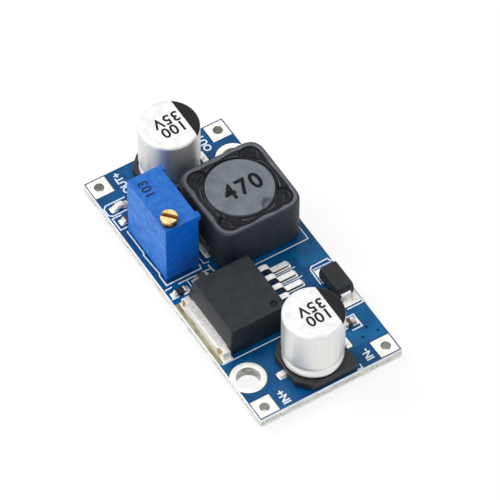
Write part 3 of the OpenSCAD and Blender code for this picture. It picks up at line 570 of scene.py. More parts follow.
trimmer_low, trimmer_high = span("trimmer_housing")
FINE = 0.13
BOLD = 0.18
legend = [
    # Round the inductor, and under its clip
    (FINE, [(-2.3, 9.53), (0.82, 9.53), (0.82, -2.6)]),
    (FINE, [(-6.3, -3.95), (-2.75, -3.8), (-2.65, -3.1)]),
    # Round the trimmer
    (BOLD, [(-12.2, -9.46), (-8.1, -9.44), (-7.9, -9.62), (-4.3, -9.4), (-4.1, -9.58), (-2.26, -9.6),
            (-2.28, -4.5), (-3.0, -4.35)]),
    # Between the trimmer's and the regulator's chips
    (BOLD, [(-1.62, -10.25), (-1.7, -9.15)]),
    (BOLD, [(-1.7, -8.24), (-1.68, -5.47)]),
    (FINE, [(-1.6, -7.0), (-0.33, -7.0)]),
    (BOLD, [(-1.74, -4.69), (-1.58, -3.47)]),
    (BOLD, [(-2.28, -3.47), (-0.88, -3.29)]),
    (BOLD, [(0.02, -10.18), (0.06, -9.15)]),
    (BOLD, [(0.14, -8.45), (0.14, -7.6)]),
    # Beside the regulator, and between its leads
    (FINE, [(11.98, -1.45), (11.93, -9.9), (11.6, -10.2)]),
    (FINE, [(3.73, 2.9), (3.73, 5.75)]),
    (FINE, [(5.43, 2.9), (5.43, 5.75)]),
    # Round the diode, doubled at its banded end
    (BOLD, [(5.41, 10.2), (4.75, 9.89), (4.82, 7.45), (5.25, 7.11), (7.81, 7.07)]),
    (FINE, [(5.41, 9.95), (5.35, 7.42), (7.94, 7.43)]),
    (BOLD, [(12.85, 7.8), (12.85, 10.16), (10.4, 10.16)]),
    # Round the chips
    (BOLD, [(13.87, 6.4), (13.87, 8.05), (15.93, 8.05), (15.93, 6.6)]),
    (BOLD, [(-17.1, -6.9), (-17.1, -9.75), (-16.7, -10.2), (-15.6, -10.2), (-15.2, -9.75),
            (-15.2, -6.9)]),
    (BOLD, [(-14.85, -8.7), (-14.85, -10.05), (-12.8, -10.05), (-12.8, -7.2)]),
    # At the corner of the input capacitor
    (BOLD, [(20.75, 4.62), (21.4, 4.62), (21.4, 3.9)]),
]
bm = bmesh.new()
for width, line in legend:
    ribbon(bm, line, width)
white_ink = ink_finish("white_legend_ink", "EDF5FD", "CFDCEA")
add_piece("white_outlines", bm, white_ink)


def lettering(bm, words, spot, height, heading, low, high, weight=0.0, squeeze=1.0, gap=1.0):
    """Raised letters, centred at a spot on a face, this high and turned to a heading"""
    font = bpy.data.curves.new("letters", "FONT")
    font.body = words
    font.align_x = "CENTER"
    font.align_y = "CENTER"
    font.offset = weight
    font.space_character = gap
    font.extrude = (high - low) / height * 0.35
    font.resolution_u = 6
    letters = bpy.data.objects.new("letters", font)
    bpy.context.scene.collection.objects.link(letters)
    bpy.context.view_layer.update()
    mesh = bpy.data.meshes.new_from_object(letters.evaluated_get(bpy.context.evaluated_depsgraph_get()))
    tall = [v.co.y for v in mesh.vertices]
    wide = [v.co.x for v in mesh.vertices]
    scale = height / (max(tall) - min(tall))
    middle = Vector(((max(wide) + min(wide)) / 2, (max(tall) + min(tall)) / 2, 0))
    mesh.transform(Matrix.Translation((*spot, (low + high) / 2)) @ Matrix.Rotation(radians(heading), 4, "Z")
                   @ Matrix.Diagonal((scale * squeeze, scale, scale, 1)) @ Matrix.Translation(-middle))
    bm.from_mesh(mesh)
    bpy.data.objects.remove(letters)
    bpy.data.meshes.remove(mesh)
    bpy.data.curves.remove(font)


bm = bmesh.new()
NAME_HEIGHT = 1.1
for words, x, y in (("IN+", 20.0, -6.1), ("IN-", 20.0, 6.25), ("OUT+", -19.2, -6.05),
                    ("OUT-", -19.45, 6.25)):
    lettering(bm, words, (x, y), NAME_HEIGHT, 180, board_top, INK_TOP, 0.028, 0.92)
add_piece("terminal_names", bm, white_ink)

# Plated vias join the copper of the two faces: most are tented dark by the mask
bm = bmesh.new()
for x, y in ((16.36, 8.35), (17.47, 7.2), (17.54, 9.38)):
    fill(bm, lathe(bm, x, y, board_top, [(0.22, 0), (0.17, 0.03), (0.09, 0.02)], 20)[-1])
via_mask = Finish("mask_over_a_via")
via_tone = via_mask.mix(via_mask.speckle(8), "031430", "062248")
add_piece("tented_vias", bm, via_mask.surface(base_color=via_tone, roughness=0.5,
                                              specular_ior_level=0.1))

# ---- Can capacitors ----
# Electrolytic capacitors: a drawn aluminium can, crimped onto its rubber bung and set in a
# moulded base. The mark of the minus lead and the values are printed on the can's top.
CAN_PROFILE = [(3.05, 0.0), (3.45, 0.0), (3.72, 0.05), (3.88, 0.18), (3.95, 0.38), (3.93, 0.6), (3.84, 0.8),
               (3.7, 1.0), (3.6, 1.2), (3.62, 1.4), (3.74, 1.58), (3.87, 1.72), (3.95, 1.9), (3.99, 2.15),
               (4.0, 2.5), (4.0, 4.5), (4.0, 6.5), (4.0, 8.3), (3.98, 8.5), (3.92, 8.66), (3.81, 8.79),
               (3.66, 8.87), (3.5, 8.9)]
MINUS_EDGE = 2.15

# Drawing leaves fine streaks up the side, and handling leaves faint scuffs
aluminium = Finish("drawn_aluminium")
streaks = aluminium.speckle(2.6, 3, aluminium.place(1000, 1000, 40))
scuffs = aluminium.speckle(2.2, 5)
can_tone = aluminium.mix(aluminium.step(streaks, 0.25, 0.75), "E4E3E0", "ECEBE9")
can_tone = aluminium.mix(aluminium.step(scuffs, 0.66, 0.85) * 0.12, can_tone, "B9BABB")
sleeve = aluminium.surface(base_color=can_tone, metallic=0.84, roughness=streaks * 0.06 + 0.42,
                           normal=aluminium.relief(streaks, 0.0008))


def matt_black(name, base="0E1013", dust="1C1F23", rough=0.5, grain=7, depth=0.02, **more):
    """Moulded black plastic with a fine grain and a little dust"""
    finish = Finish(name)
    fine = finish.speckle(grain, 3)
    broad = finish.speckle(0.8, 2)
    tone = finish.mix(finish.step(broad, 0.3, 0.75), base, dust)
    flecks = finish.step(finish.speckle(3.6, 1), 0.76, 0.8)
    tone = finish.mix(flecks * 0.5, tone, "6A6C70")
    return finish.surface(base_color=tone, roughness=fine * 0.2 + rough, normal=finish.relief(fine, depth),
                          **more)


def dress(node, finish, soft=0):
    """Gives a CAD node its finish, and rounds its edges where they show"""
    solid = bpy.data.objects[node]
    solid.data.materials.clear()
    solid.data.materials.append(finish)
    if soft:
        soften(solid, soft, 40)


base_plastic = matt_black("capacitor_base_plastic", "0C0E11", "1A1D21", 0.42)
top_ink = ink_finish("charcoal_ink", "0C0E10", "1A1D20", 0.55, 0.22)
flat_top = tin_finish("pressed_can_top", "E2E2E1", "EFEFEE", 0.35, 0.0015, 0.45)
rubber = matt_black("bung_rubber", "1C1917", "2B2724", 0.8, 12)
lead_tin = tin_finish("tinned_lead", "E8E8E5", "FFFFFD", 0.2, 0.01, 0.4)
for can in ("input_capacitor", "output_capacitor"):
    can_low, can_high = span(can + "_can")
    base_low, base_high = span(can + "_base")
    axis_x, axis_y, _ = centre(can + "_can")
    bm = bmesh.new()
    bm.faces.new(lathe(bm, axis_x, axis_y, can_low.z, CAN_PROFILE, 96)[-1])
    everything = bm.verts[:] + bm.edges[:] + bm.faces[:]
    bmesh.ops.bisect_plane(bm, geom=everything, plane_co=(0, axis_y + MINUS_EDGE, 0), plane_no=(0, 1, 0))
    for face in bm.faces:
        middle = face.calc_center_median()
        if middle.z > can_low.z + 8.45:
            face.material_index = 1 if middle.y > axis_y + MINUS_EDGE else 2
    add_piece(can + "_sleeve", bm, [sleeve, top_ink, flat_top], [can + "_can"])

    half = (base_high.x - base_low.x) / 2
    cut = 1.7
    outline = [(half, half), (-half, half), (-half, cut - half), (cut - half, -half),
               (half - cut, -half), (half, cut - half)]
    bm = bmesh.new()
    rings = []
    for z, inset in ((base_low.z, 0.06), (base_low.z + 0.08, 0), (base_high.z - 0.12, 0),
                     (base_high.z - 0.03, 0.04), (base_high.z, 0.12)):
        share = (half - inset) / half
        rings.append([(axis_x + p.x * share, axis_y + p.y * share, z) for p in rounded(outline, 0.35)])
    rows = skin(bm, rings)
    collar = lathe(bm, axis_x, axis_y, base_high.z, [(3.95, 0), (3.95, -0.25), (3.0, -0.25)], 64)
    fill(bm, rows[-1], collar[0])
    fill(bm, rows[0])
    fill(bm, collar[-1])
    add_piece(can + "_seat", bm, base_plastic, [can + "_base"])

    bm = bmesh.new()
    print_low = can_high.z - 0.004
    print_high = can_high.z + 0.012
    for words, out in (("100", 1.1), ("35V", -0.65)):
        lettering(bm, words, (axis_x + out, axis_y - 0.05), 1.64, -90, print_low, print_high,
                  0.022, 1.0, 1.08)
    add_piece(can + "_values", bm, top_ink)
    dress(can + "_bung", rubber)
    dress(can + "_leads", lead_tin, 0.05)

# ---- Inductor ----
# A ferrite drum wound with enamelled wire stands in a square ferrite shield. Black adhesive
# holds it there: it fills the gap round the drum and the pocket in each corner.
shield_low, shield_high = span("inductor_shield")
drum_low, drum_high = span("inductor_drum")
coil_x, coil_y, _ = centre("inductor_shield")
shield_half = (shield_high.x - shield_low.x) / 2
shield_top = shield_high.z
drum_r = (drum_high.x - drum_low.x) / 2
BORE_R = 4.95
POCKET_OUT = 5.4
POCKET_R = 1.45
POCKET_DEPTH = 0.9


def shield_opening(z, grow=0.0):
    """The shield's opening: its bore, with a round pocket towards each corner"""
    bore_r = BORE_R + grow
    pocket_r = POCKET_R + grow
    nearness = (bore_r ** 2 + POCKET_OUT ** 2 - pocket_r ** 2) / (2 * bore_r * POCKET_OUT)
    bore_angle = pi / 4 - acos(nearness)
    reach = (POCKET_OUT ** 2 + pocket_r ** 2 - bore_r ** 2) / (2 * POCKET_OUT * pocket_r)
    pocket_angle = pi - acos(reach)
    ring = []
    for quarter in range(4):
        for i in range(14):
            angle = quarter * tau / 4 + bore_angle * (2 * i / 13 - 1)
            ring.append((coil_x + bore_r * cos(angle), coil_y + bore_r * sin(angle), z))
        heading = quarter * tau / 4 + pi / 4
        for i in range(1, 17):
            angle = heading + pocket_angle * (2 * i / 17 - 1)
            ring.append((coil_x + POCKET_OUT * cos(heading) + pocket_r * cos(angle),
                         coil_y + POCKET_OUT * sin(heading) + pocket_r * sin(angle), z))
    return ring


def ferrite_finish(name, base, pale, rough, speckle_share, depth=0.02):
    """Pressed and fired ferrite: a matt grey grain with darker pores and bright specks"""
    finish = Finish(name)
    broad = finish.speckle(0.7, 3)
    grain = finish.speckle(9, 4)
    pores = finish.step(finish.speckle(2.4, 2), 0.7, 0.76)
    specks = finish.step(finish.speckle(7, 1), 0.72, 0.78)
    tone = finish.mix(finish.step(broad * 0.6 + grain * 0.4, 0.3, 0.7), base, pale)
    tone = finish.mix(pores * 0.55, tone, "2A2C2F")
    tone = finish.mix(specks * speckle_share, tone, "9EA3A3")
    return finish.surface(base_color=tone, roughness=grain * 0.25 + rough,
                          normal=finish.relief(grain * 0.6 + broad * 0.4 - pores, depth))


side_ferrite = ferrite_finish("shield_ferrite", "1A2027", "2A313A", 0.5, 0.12)
rim_ferrite = ferrite_finish("ground_ferrite_rim", "494B53", "62646D", 0.55, 0.4)
bm = bmesh.new()
SHIELD_R = 2.2
outer = stack(bm, coil_x, coil_y, 2 * shield_half, 2 * shield_half, SHIELD_R,
              [(shield_low.z, 0.1), (shield_low.z + 0.1, 0), (shield_top - 0.32, 0),
               (shield_top - 0.12, 0.05), (shield_top - 0.02, 0.17), (shield_top, 0.26)], 10)
pocket_floor = shield_top - POCKET_DEPTH
well = skin(bm, [shield_opening(shield_top, 0.05), shield_opening(shield_top - 0.06),
                 shield_opening(pocket_floor)])
fill(bm, outer[-1], well[0], material=1)
bore = lathe(bm, coil_x, coil_y, 0, [(BORE_R, pocket_floor), (BORE_R, shield_low.z)], 96)
fill(bm, well[-1], bore[0])
fill(bm, outer[0], bore[1])
add_piece("ferrite_shield", bm, [side_ferrite, rim_ferrite], ["inductor_shield"])

# The adhesive sags between drum and shield, has set in folds in the pockets and is smeared
# over the rim, of which it leaves a narrow band bare


def smear_reach(heading):
    """How far out the smear goes along a heading: to a square with rounded corners"""
    half, corner = shield_half - 0.68, SHIELD_R - 0.2
    along, across = max(abs(heading.x), abs(heading.y)), min(abs(heading.x), abs(heading.y))
    if across * half / along <= half - corner:
        return half / along
    centre = (half - corner) * (along + across)
    return centre + (corner ** 2 - 2 * (half - corner) ** 2 + centre ** 2) ** 0.5


bm = bmesh.new()
edge_ring = shield_opening(shield_top - 0.03, -0.01)
flats = [Vector((x - coil_x, y - coil_y, 0)) for x, y, _ in edge_ring]
rings = []
for smear, rise in ((1.0, 0.004), (0.92, 0.03), (0.6, 0.03), (0.3, 0.025)):
    ring = []
    for flat in flats:
        reach = smear_reach(flat.normalized()) + 0.35 * noise.noise(flat * 0.55) - flat.length
        spot = flat * (1 + max(0.06, reach) * smear / flat.length)
        ring.append((coil_x + spot.x, coil_y + spot.y, shield_top + rise))
    rings.append(ring)
for inward in range(25):
    share = inward / 24
    arch = sin(pi * share)
    ring = []
    for flat in flats:
        inner = flat.normalized() * (drum_r + 0.03)
        spot = flat.lerp(inner, share)
        room = (flat - inner).length
        sag = (0.12 + 0.12 * min(room, 1.6)) * sin(pi * share ** 0.75) ** 0.6
        folds = 0.16 * min(room, 1.5) * noise.noise(Vector((spot.x * 1.3, spot.y * 1.3, 3)))
        drift = 3 * noise.noise(Vector((spot.x * 0.5, spot.y * 0.5, 7)))
        ridge = 0.05 * sin(spot.length * 11 + drift) * min(room, 1.0)
        height = shield_top - 0.03 - sag + (folds + ridge) * arch
        ring.append((coil_x + spot.x, coil_y + spot.y, height))
    rings.append(ring)
under = [[(x, y, z) for x, y, _ in ring] for ring, z in (
    (rings[-1], pocket_floor), (edge_ring, pocket_floor), (edge_ring, shield_top - 0.02))]
skin(bm, rings + under + rings[:1])
glue = Finish("set_adhesive")
glue_ripple = glue.speckle(1.6, 4)
glue_dust = glue.step(glue.speckle(6, 2), 0.66, 0.72)
glue_tone = glue.mix(glue_ripple, "040509", "0D1015")
glue_tone = glue.mix(glue_dust * 0.5, glue_tone, "5F6266")
adhesive = glue.surface(base_color=glue_tone, roughness=glue_ripple * 0.4 + 0.2, specular_ior_level=0.22,
                        normal=glue.relief(glue_ripple, 0.12))
add_piece("adhesive_fill", bm, adhesive, ["inductor_adhesive"])

# The drum's top flange was ground flat: it has pits, and a chip broke out of its edge
bm = bmesh.new()
CHIP = Vector((3.87, 1.72, 0))
PITS = [(2.35, -1.88, 0.16), (-2.99, 0.85, 0.14), (2.9, 0.6, 0.1), (-0.9, 3.4, 0.12)]
CORE_R = 2.1
FLANGE = 1.3
profile = [(CORE_R, 0.0), (drum_r - 0.06, 0.0), (drum_r, 0.06), (drum_r, FLANGE - 0.06),
           (drum_r - 0.06, FLANGE), (CORE_R, FLANGE)]
top_profile = [(CORE_R, -FLANGE), (drum_r - 0.08, -FLANGE), (drum_r, 0.08 - FLANGE), (drum_r, -0.12),
               (drum_r - 0.04, -0.03)]
top_profile += [(drum_r - 0.12 - i * 0.18, 0) for i in range(24)]
lathe(bm, coil_x, coil_y, drum_low.z, profile, 96)
lathe(bm, coil_x, coil_y, 0, [(CORE_R, drum_low.z + FLANGE), (CORE_R, drum_high.z - FLANGE)], 96)
bm.faces.new(lathe(bm, coil_x, coil_y, drum_high.z, top_profile, 144)[-1])
for vert in bm.verts:
    flat = Vector((vert.co.x - coil_x, vert.co.y - coil_y, 0))
    if vert.co.z > drum_high.z - 0.5:
        bite = 0.95 - (flat - CHIP.normalized() * drum_r).length + 0.2 * noise.noise(flat * 3)
        if bite > 0:
            vert.co.z -= min(0.5, bite * 2.5)
    if vert.co.z > drum_high.z - 0.02:
        for x, y, size in PITS:
            near = (flat - Vector((x, y, 0))).length
            vert.co.z -= 0.1 * max(0, 1 - (near / size / 1.3) ** 2)
disc_ferrite = ferrite_finish("ground_ferrite", "596066", "727980", 0.5, 0.45, 0.012)
add_piece("ferrite_drum", bm, disc_ferrite, ["inductor_drum"])

bm = bmesh.new()
lettering(bm, "470", (coil_x + 0.12, coil_y + 0.3), 2.6, 90, drum_high.z - 0.004, drum_high.z + 0.015,
          0.026, 0.92, 1.2)
add_piece("inductance_mark", bm, ink_finish("black_ink", "08090A", "17191B", 0.6, 0.15))
copper_wire = Finish("enamelled_wire")
wire_tone = copper_wire.mix(copper_wire.speckle(3), "7A4A26", "B0713C")
dress("inductor_winding", copper_wire.surface(base_color=wire_tone, metallic=0.7, roughness=0.3,
                                              normal=copper_wire.relief(copper_wire.speckle(4), 0.02)))
# The clips take a dark copy of the tin: painted shade where they stand between trimmer and coil
dress("inductor_clips", tin_finish("clip_tin_painted_shade", "3F403D", "8E8B7C", 0.3, 0.03, 0.6), 0.04)

# ---- Trimmer ----
# A multi-turn trimming potentiometer in a blue moulded housing, open at the back where grey
# resin seals its element. A brass screw with a worm on its shank turns a plastic wheel.
housing_front = trimmer_low.y
housing_top = trimmer_high.z
LUG = (0.9, 0.35, 1.0)
FOOT_H = 0.4
WALL = 0.5
SCREW_HOLE_R = 1.03
screw_top = span("trimmer_screw")[1].z


def blue_finish(name, base, pale, depth, run=1000, grain=1.1):
    """Glass-filled blue plastic: flow marks and scratches run along the moulding"""
    finish = Finish(name)
    flow = finish.speckle(grain, 4, finish.place(run, 1000, 1000))
    fine = finish.speckle(7, 3)
    tone = finish.mix(finish.step(flow * 0.7 + fine * 0.3, 0.35, 0.65), base, pale)
    return finish.surface(base_color=tone, roughness=fine * 0.14 + 0.34, specular_ior_level=0.25,
                          normal=finish.relief(flow * 0.8 + fine * 0.2, depth))


def block(bm, low, high):
    """A box from its lowest corner to its highest one"""
    (x0, y0, z0), (x1, y1, z1) = low, high
    for row in skin(bm, [[(x0, y0, z), (x1, y0, z), (x1, y1, z), (x0, y1, z)] for z in (z0, z1)]):
        bm.faces.new(row)


bm = bmesh.new()
back = trimmer_high.y - LUG[1]
inside_back = span("trimmer_resin")[0].y - 0.6
left_x, right_x = trimmer_low.x, trimmer_high.x
body_low = trimmer_low.z + FOOT_H
roof = housing_top - WALL
lug_low = housing_top - LUG[2]
u_outline = [(left_x, housing_front), (right_x, housing_front), (right_x, back), (right_x - WALL, back),
             (right_x - WALL, inside_back), (left_x + WALL, inside_back), (left_x + WALL, back),
             (left_x, back)]
screw_x, screw_y, _ = centre("trimmer_screw")

walls = skin(bm, [[(x, y, z) for x, y in u_outline] for z in (body_low, roof)])
plate_outline = u_outline[:4] + u_outline[6:]
plate = skin(bm, [[(x, y, z) for x, y in plate_outline] for z in (roof, housing_top)])
well = lathe(bm, screw_x, screw_y, 0, [(SCREW_HOLE_R, body_low), (SCREW_HOLE_R, housing_top)], 40)
fill(bm, walls[0], well[0])
fill(bm, plate[1], well[1])
bm.faces.new(walls[1][3:7])
for x in (left_x, right_x - LUG[0]):
    block(bm, (x, back - 0.01, lug_low), (x + LUG[0], back + LUG[1], housing_top))
for x in (left_x, right_x - WALL):
    for y in (housing_front, back - 1):
        block(bm, (x, y, trimmer_low.z), (x + WALL, y + 1, body_low))
bm.normal_update()
for face in bm.faces:
    middle = face.calc_center_median()
    if face.normal.y < -0.9 and abs(middle.y - housing_front) < 0.01:
        face.material_index = 1
    if abs(face.normal.z) > 0.9 and middle.z > roof + WALL / 2:
        face.material_index = 2
blue = blue_finish("blue_moulding", "0058BE", "0D68CA", 0.03)
# The front face's copy of the blue has real scoring, and its paler tone is painted light on the lit face
scored_blue_painted_light = blue_finish("scored_moulding_painted_light", "0057BB", "2E86DA", 0.2, 380, 2.4)
# The top faces take a lighter copy of the blue: painted light where the housing faces up
top_blue_painted_light = blue_finish("moulding_top_painted_light", "1560BA", "2E72C4", 0.03)
add_piece("trimmer_case", bm, [blue, scored_blue_painted_light, top_blue_painted_light], ["trimmer_housing"],
          soft=0.09)

bm = bmesh.new()
lettering(bm, "103", (left_x + 2.35, housing_front + 1.44), 1.42, 180, housing_top - 0.004,
          housing_top + 0.01, 0.03, 0.95, 1.1)
add_piece("resistance_mark", bm, ink_finish("blue_black_ink", "0A1F45", "12305E", 0.6, 0.3))

brass = Finish("turned_brass")
marks = brass.speckle(3, 4, brass.place(1000, 1000, 4000))
stain = brass.step(brass.speckle(1.6, 3), 0.45, 0.75)
# Painted shade: the brass turns dark brown below its top, down into the slot and the head's sides
height = brass.node("SeparateXYZ", {}, {0: brass.place()}, output=2)
brass_tone = brass.mix(brass.step(height, screw_top - 0.7, screw_top - 0.1), "8A5C22",
                       brass.mix(stain, "FFE6A6", "EBB45E"))
dress("trimmer_screw", brass.surface(base_color=brass_tone, metallic=0.9, roughness=marks * 0.25 + 0.2,
                                     normal=brass.relief(marks, 0.02)))
dress("trimmer_seal_ring", rubber)


def grained(name, dark, pale, scale, depth, rough, detail=3, **more):
    """A plain material whose one soft grain colours it and stands out of its surface"""
    finish = Finish(name)
    grain = finish.speckle(scale, detail)
    return finish.surface(base_color=finish.mix(grain, dark, pale), roughness=rough,
                          normal=finish.relief(grain, depth), **more)


dress("trimmer_worm_wheel", grained("white_moulding", "DCD9CC", "F0EEE4", 4, 0.01, 0.4))
dress("trimmer_wiper", lead_tin)
dress("trimmer_element", grained("fired_alumina", "E4E2D8", "F6F4EE", 12, 0.01, 0.6))
potting = Finish("grey_resin")
swirl = potting.speckle(0.9, 3)
dress("trimmer_resin", potting.surface(base_color=potting.mix(swirl, "6F747B", "92979D"),
                                       roughness=swirl * 0.3 + 0.2, normal=potting.relief(swirl, 0.1)))
dress("trimmer_pins", lead_tin, 0.05)

# ---- Regulator ----
# A switching regulator moulded in black epoxy over a copper tab. Its five tinned leads
# leave the body in one plane, step down to the board and are soldered with the tab.
body_low, body_high = span("regulator_body")
reg_x, reg_y, _ = centre("regulator_body")
reg_w = body_high.x - body_low.x
reg_l = body_high.y - body_low.y
PART_LINE = 1.7
DRAFT = 0.45
DIMPLE = (3.6, 2.75, 0.52)


def moulding(bm, x, y, width, length, levels, corner, hole=None):
    """A moulded body from its heights and insets, with a dimple in its top where hole says"""
    rows = stack(bm, x, y, width, length, corner, levels)
    fill(bm, rows[0])
    if not hole:
        fill(bm, rows[-1])
        return
    spot_x, spot_y, radius = hole
    top = levels[-1][0]
    dish = lathe(bm, x + spot_x, y + spot_y, top,
                 [(radius, 0), (radius - 0.02, -0.2), (radius * 0.8, -0.3), (radius * 0.3, -0.3)], 40)
    fill(bm, rows[-1], dish[0])
    bm.faces.new(dish[-1])


def compass(heading):
    """The directions out along a heading and to its left"""
    out = Vector((cos(radians(heading)), sin(radians(heading)), 0))
    return out, Vector((-out.y, out.x, 0))


def strap(bm, spot, heading, path, width, thick, bend):
    """Sheet metal bent along a path of runs and heights, seen along a heading from a spot"""
    line = [Vector(path[0])]
    for before, here, after in zip(path, path[1:], path[2:]):
        here = Vector(here)
        first = (Vector(before) - here).normalized() * bend
        last = (Vector(after) - here).normalized() * bend
        line += [here + first * (1 - k / 4) ** 2 + last * (k / 4) ** 2 for k in range(5)]
    line.append(Vector(path[-1]))
    edge = min(0.06, thick * 0.3)
    w, t = width / 2, thick / 2
    section = [(-w, edge - t), (edge - w, -t), (w - edge, -t), (w, edge - t),
               (w, t - edge), (w - edge, t), (edge - w, t), (-w, t - edge)]
    out, side = compass(heading)
    rings = []
    for i, point in enumerate(line):
        along = (line[min(i + 1, len(line) - 1)] - line[max(i - 1, 0)]).normalized()
        normal = Vector((-along.y, along.x))
        rings.append([Vector(spot) + out * (point.x + normal.x * rise) + side * across
                      + Vector((0, 0, point.y + normal.y * rise)) for across, rise in section])
    rows = skin(bm, rings)
    bm.faces.new(rows[0])
    bm.faces.new(rows[-1])


epoxy = matt_black("moulded_epoxy", "060C12", "141D26", 0.42, 6, 0.025, specular_ior_level=0.4)
bm = bmesh.new()
lead_plane = body_low.z - 0.1 + PART_LINE
moulding(bm, reg_x, reg_y, reg_w, reg_l,
         [(body_low.z, 0.2), (body_low.z + 0.06, 0.15), (lead_plane - 0.02, 0.0), (lead_plane + 0.02, 0.0),
          (body_high.z - 0.16, DRAFT - 0.05), (body_high.z - 0.05, DRAFT), (body_high.z, DRAFT + 0.1)],
         0.14, DIMPLE)
block(bm, (reg_x + DIMPLE[0] - 0.06, reg_y + DIMPLE[1] - 0.24, body_high.z - 0.31),
      (reg_x + DIMPLE[0] + 0.06, reg_y + DIMPLE[1] + 0.24, body_high.z - 0.16))
add_piece("regulator_moulding", bm, epoxy, ["regulator_body"])

bm = bmesh.new()
LEAD_ROOT = 0.9
land_z = lead_low.z
front = body_high.y
path = [(-LEAD_ROOT, PART_LINE), (1.52, PART_LINE), (2.16, LEAD_T / 2),
        (lead_high.y - front, LEAD_T / 2)]
for x in lead_xs:
    strap(bm, (x, front, land_z), 90, path, LEAD_W, LEAD_T, 0.3)
# The leads' side faces take a dark copy of the tin: painted shade along the sides of the leads
bm.normal_update()
for face in bm.faces:
    if abs(face.normal.x) > 0.8:
        face.material_index = 1
bright_tin = tin_finish("bright_tin", "F6F6F6", "FFFFFF", 0.25, 0.004, 0.3)
lead_side_painted_shade = tin_finish("lead_side_painted_shade", "3A3B3D", "77777A", 0.3, 0.01, 0.7)
add_piece("regulator_lead_frame", bm, [bright_tin, lead_side_painted_shade], ["regulator_leads"])

TAB_BAR = 1.2
NOTCH = (0.9, 0.35)
half_tab = (tab_high.x - tab_low.x) / 2
half_in = half_tab - 0.88
notch_x = half_tab - 0.8
notch_back = tab_low.y + NOTCH[1]
bar_end = tab_low.y + TAB_BAR
half_outline = [(notch_x - NOTCH[0] / 2, tab_low.y), (notch_x - NOTCH[0] / 2 + 0.06, notch_back - 0.1),
                (notch_x - NOTCH[0] / 2 + 0.2, notch_back), (notch_x + NOTCH[0] / 2, notch_back),
                (notch_x + NOTCH[0] / 2, tab_low.y + 0.12), (half_tab - 0.06, tab_low.y + 0.12),
                (half_tab, tab_low.y + 0.2), (half_tab, bar_end), (half_in, bar_end), (half_in, tab_high.y)]
outline = [(tab_x + x, y) for x, y in half_outline]
outline += [(tab_x - x, y) for x, y in reversed(half_outline)]
grainy = Finish("tinned_copper_tab")
dents = grainy.speckle(3.2, 4)
pits = grainy.step(grainy.speckle(2.4, 2), 0.7, 0.75)
tab_tone = grainy.mix(grainy.step(dents, 0.35, 0.65), "DDDBD6", "F4F2EE")
tab_tone = grainy.mix(pits * 0.6, tab_tone, "8A8478")
tab_metal = grainy.surface(base_color=tab_tone, metallic=0.45, roughness=dents * 0.3 + 0.28,
                           normal=grainy.relief(dents - pits * 0.5, 0.018))
cut_copper = Finish("sheared_copper")
shear = cut_copper.speckle(4, 3, cut_copper.place(1000, 1000, 200))
cut_tone = cut_copper.mix(shear, "B98F5E", "F2DFB8")
cut_metal = cut_copper.surface(base_color=cut_tone, metallic=0.4, roughness=0.4,
                               normal=cut_copper.relief(shear, 0.03))
bm = bmesh.new()
TAB_SOFT = 0.1
levels = [(tab_low.z, 0), (tab_high.z - TAB_SOFT, 0), (tab_high.z - 0.03, 0.03), (tab_high.z, TAB_SOFT)]
rows = skin(bm, [[(p.x, p.y, z) for p in offset_line(outline, inset, True)] for z, inset in levels])
fill(bm, rows[0])
fill(bm, rows[-1])
bm.normal_update()
for face in bm.faces:
    middle = face.calc_center_median()
    in_notch = abs(abs(middle.x - tab_x) - notch_x) < NOTCH[0] / 2 + 0.05
    if in_notch and abs(face.normal.z) < 0.3 and tab_low.y + 0.02 < middle.y < notch_back + 0.05:
        face.material_index = 1
add_piece("regulator_heat_tab", bm, [tab_metal, cut_metal], ["regulator_tab"])

# ---- Diode ----
# The catch diode: a flat moulded body whose two wide leads fold down and under it.
diode_low, diode_high = span("diode_body")
diode_x, middle_y, middle_z = centre("diode_body")
bm = bmesh.new()
moulding(bm, diode_x, middle_y, diode_high.x - diode_low.x, diode_high.y - diode_low.y,
         [(diode_low.z, 0.1), (diode_low.z + 0.05, 0.05), (middle_z, 0), (diode_high.z - 0.12, 0.12),
          (diode_high.z - 0.04, 0.15), (diode_high.z, 0.22)], 0.12)
diode_epoxy = matt_black("diode_epoxy", "0A0C0F", "1A1E22", 0.45, 6, 0.02, specular_ior_level=0.38)
add_piece("diode_moulding", bm, diode_epoxy, ["diode_body"])

bm = bmesh.new()
DIODE_LEAD_W = 1.45
DIODE_LEAD_T = 0.2
out = (diode_lead_high.x - diode_lead_low.x) / 2 - DIODE_LEAD_T / 2
for heading in (0, 180):
    strap(bm, (diode_x, middle_y, diode_lead_low.z), heading,
          [(out - 0.5, 1.05), (out, 1.05), (out, DIODE_LEAD_T / 2), (out - 1.2, DIODE_LEAD_T / 2)],
          DIODE_LEAD_W, DIODE_LEAD_T, 0.22)
add_piece("diode_straps", bm, lead_tin, ["diode_leads"])

# ---- Chip parts ----
# Resistors, ceramic capacitors and the indicator lamp: blocks of ceramic or board with a
# tinned metal cap fired on over each end.


def soft_box(bm, low, high, edge):
    """A box with its edges and corners rounded"""
    levels = [(low.z, edge), (low.z + edge * 0.3, edge * 0.3), (low.z + edge, 0), (high.z - edge, 0),
              (high.z - edge * 0.3, edge * 0.3), (high.z, edge)]
    rows = stack(bm, (low.x + high.x) / 2, (low.y + high.y) / 2, high.x - low.x, high.y - low.y, edge,
                 levels, 3)
    fill(bm, rows[0])
    fill(bm, rows[-1])


def chip_finish(name, base, pale, rough=0.4):
    finish = Finish(name)
    grain = finish.speckle(10, 3)
    cloud = finish.speckle(2, 2)
    tone = finish.mix(finish.step(grain * 0.5 + cloud * 0.5, 0.35, 0.65), base, pale)
    return finish.surface(base_color=tone, roughness=grain * 0.2 + rough, normal=finish.relief(grain, 0.01))


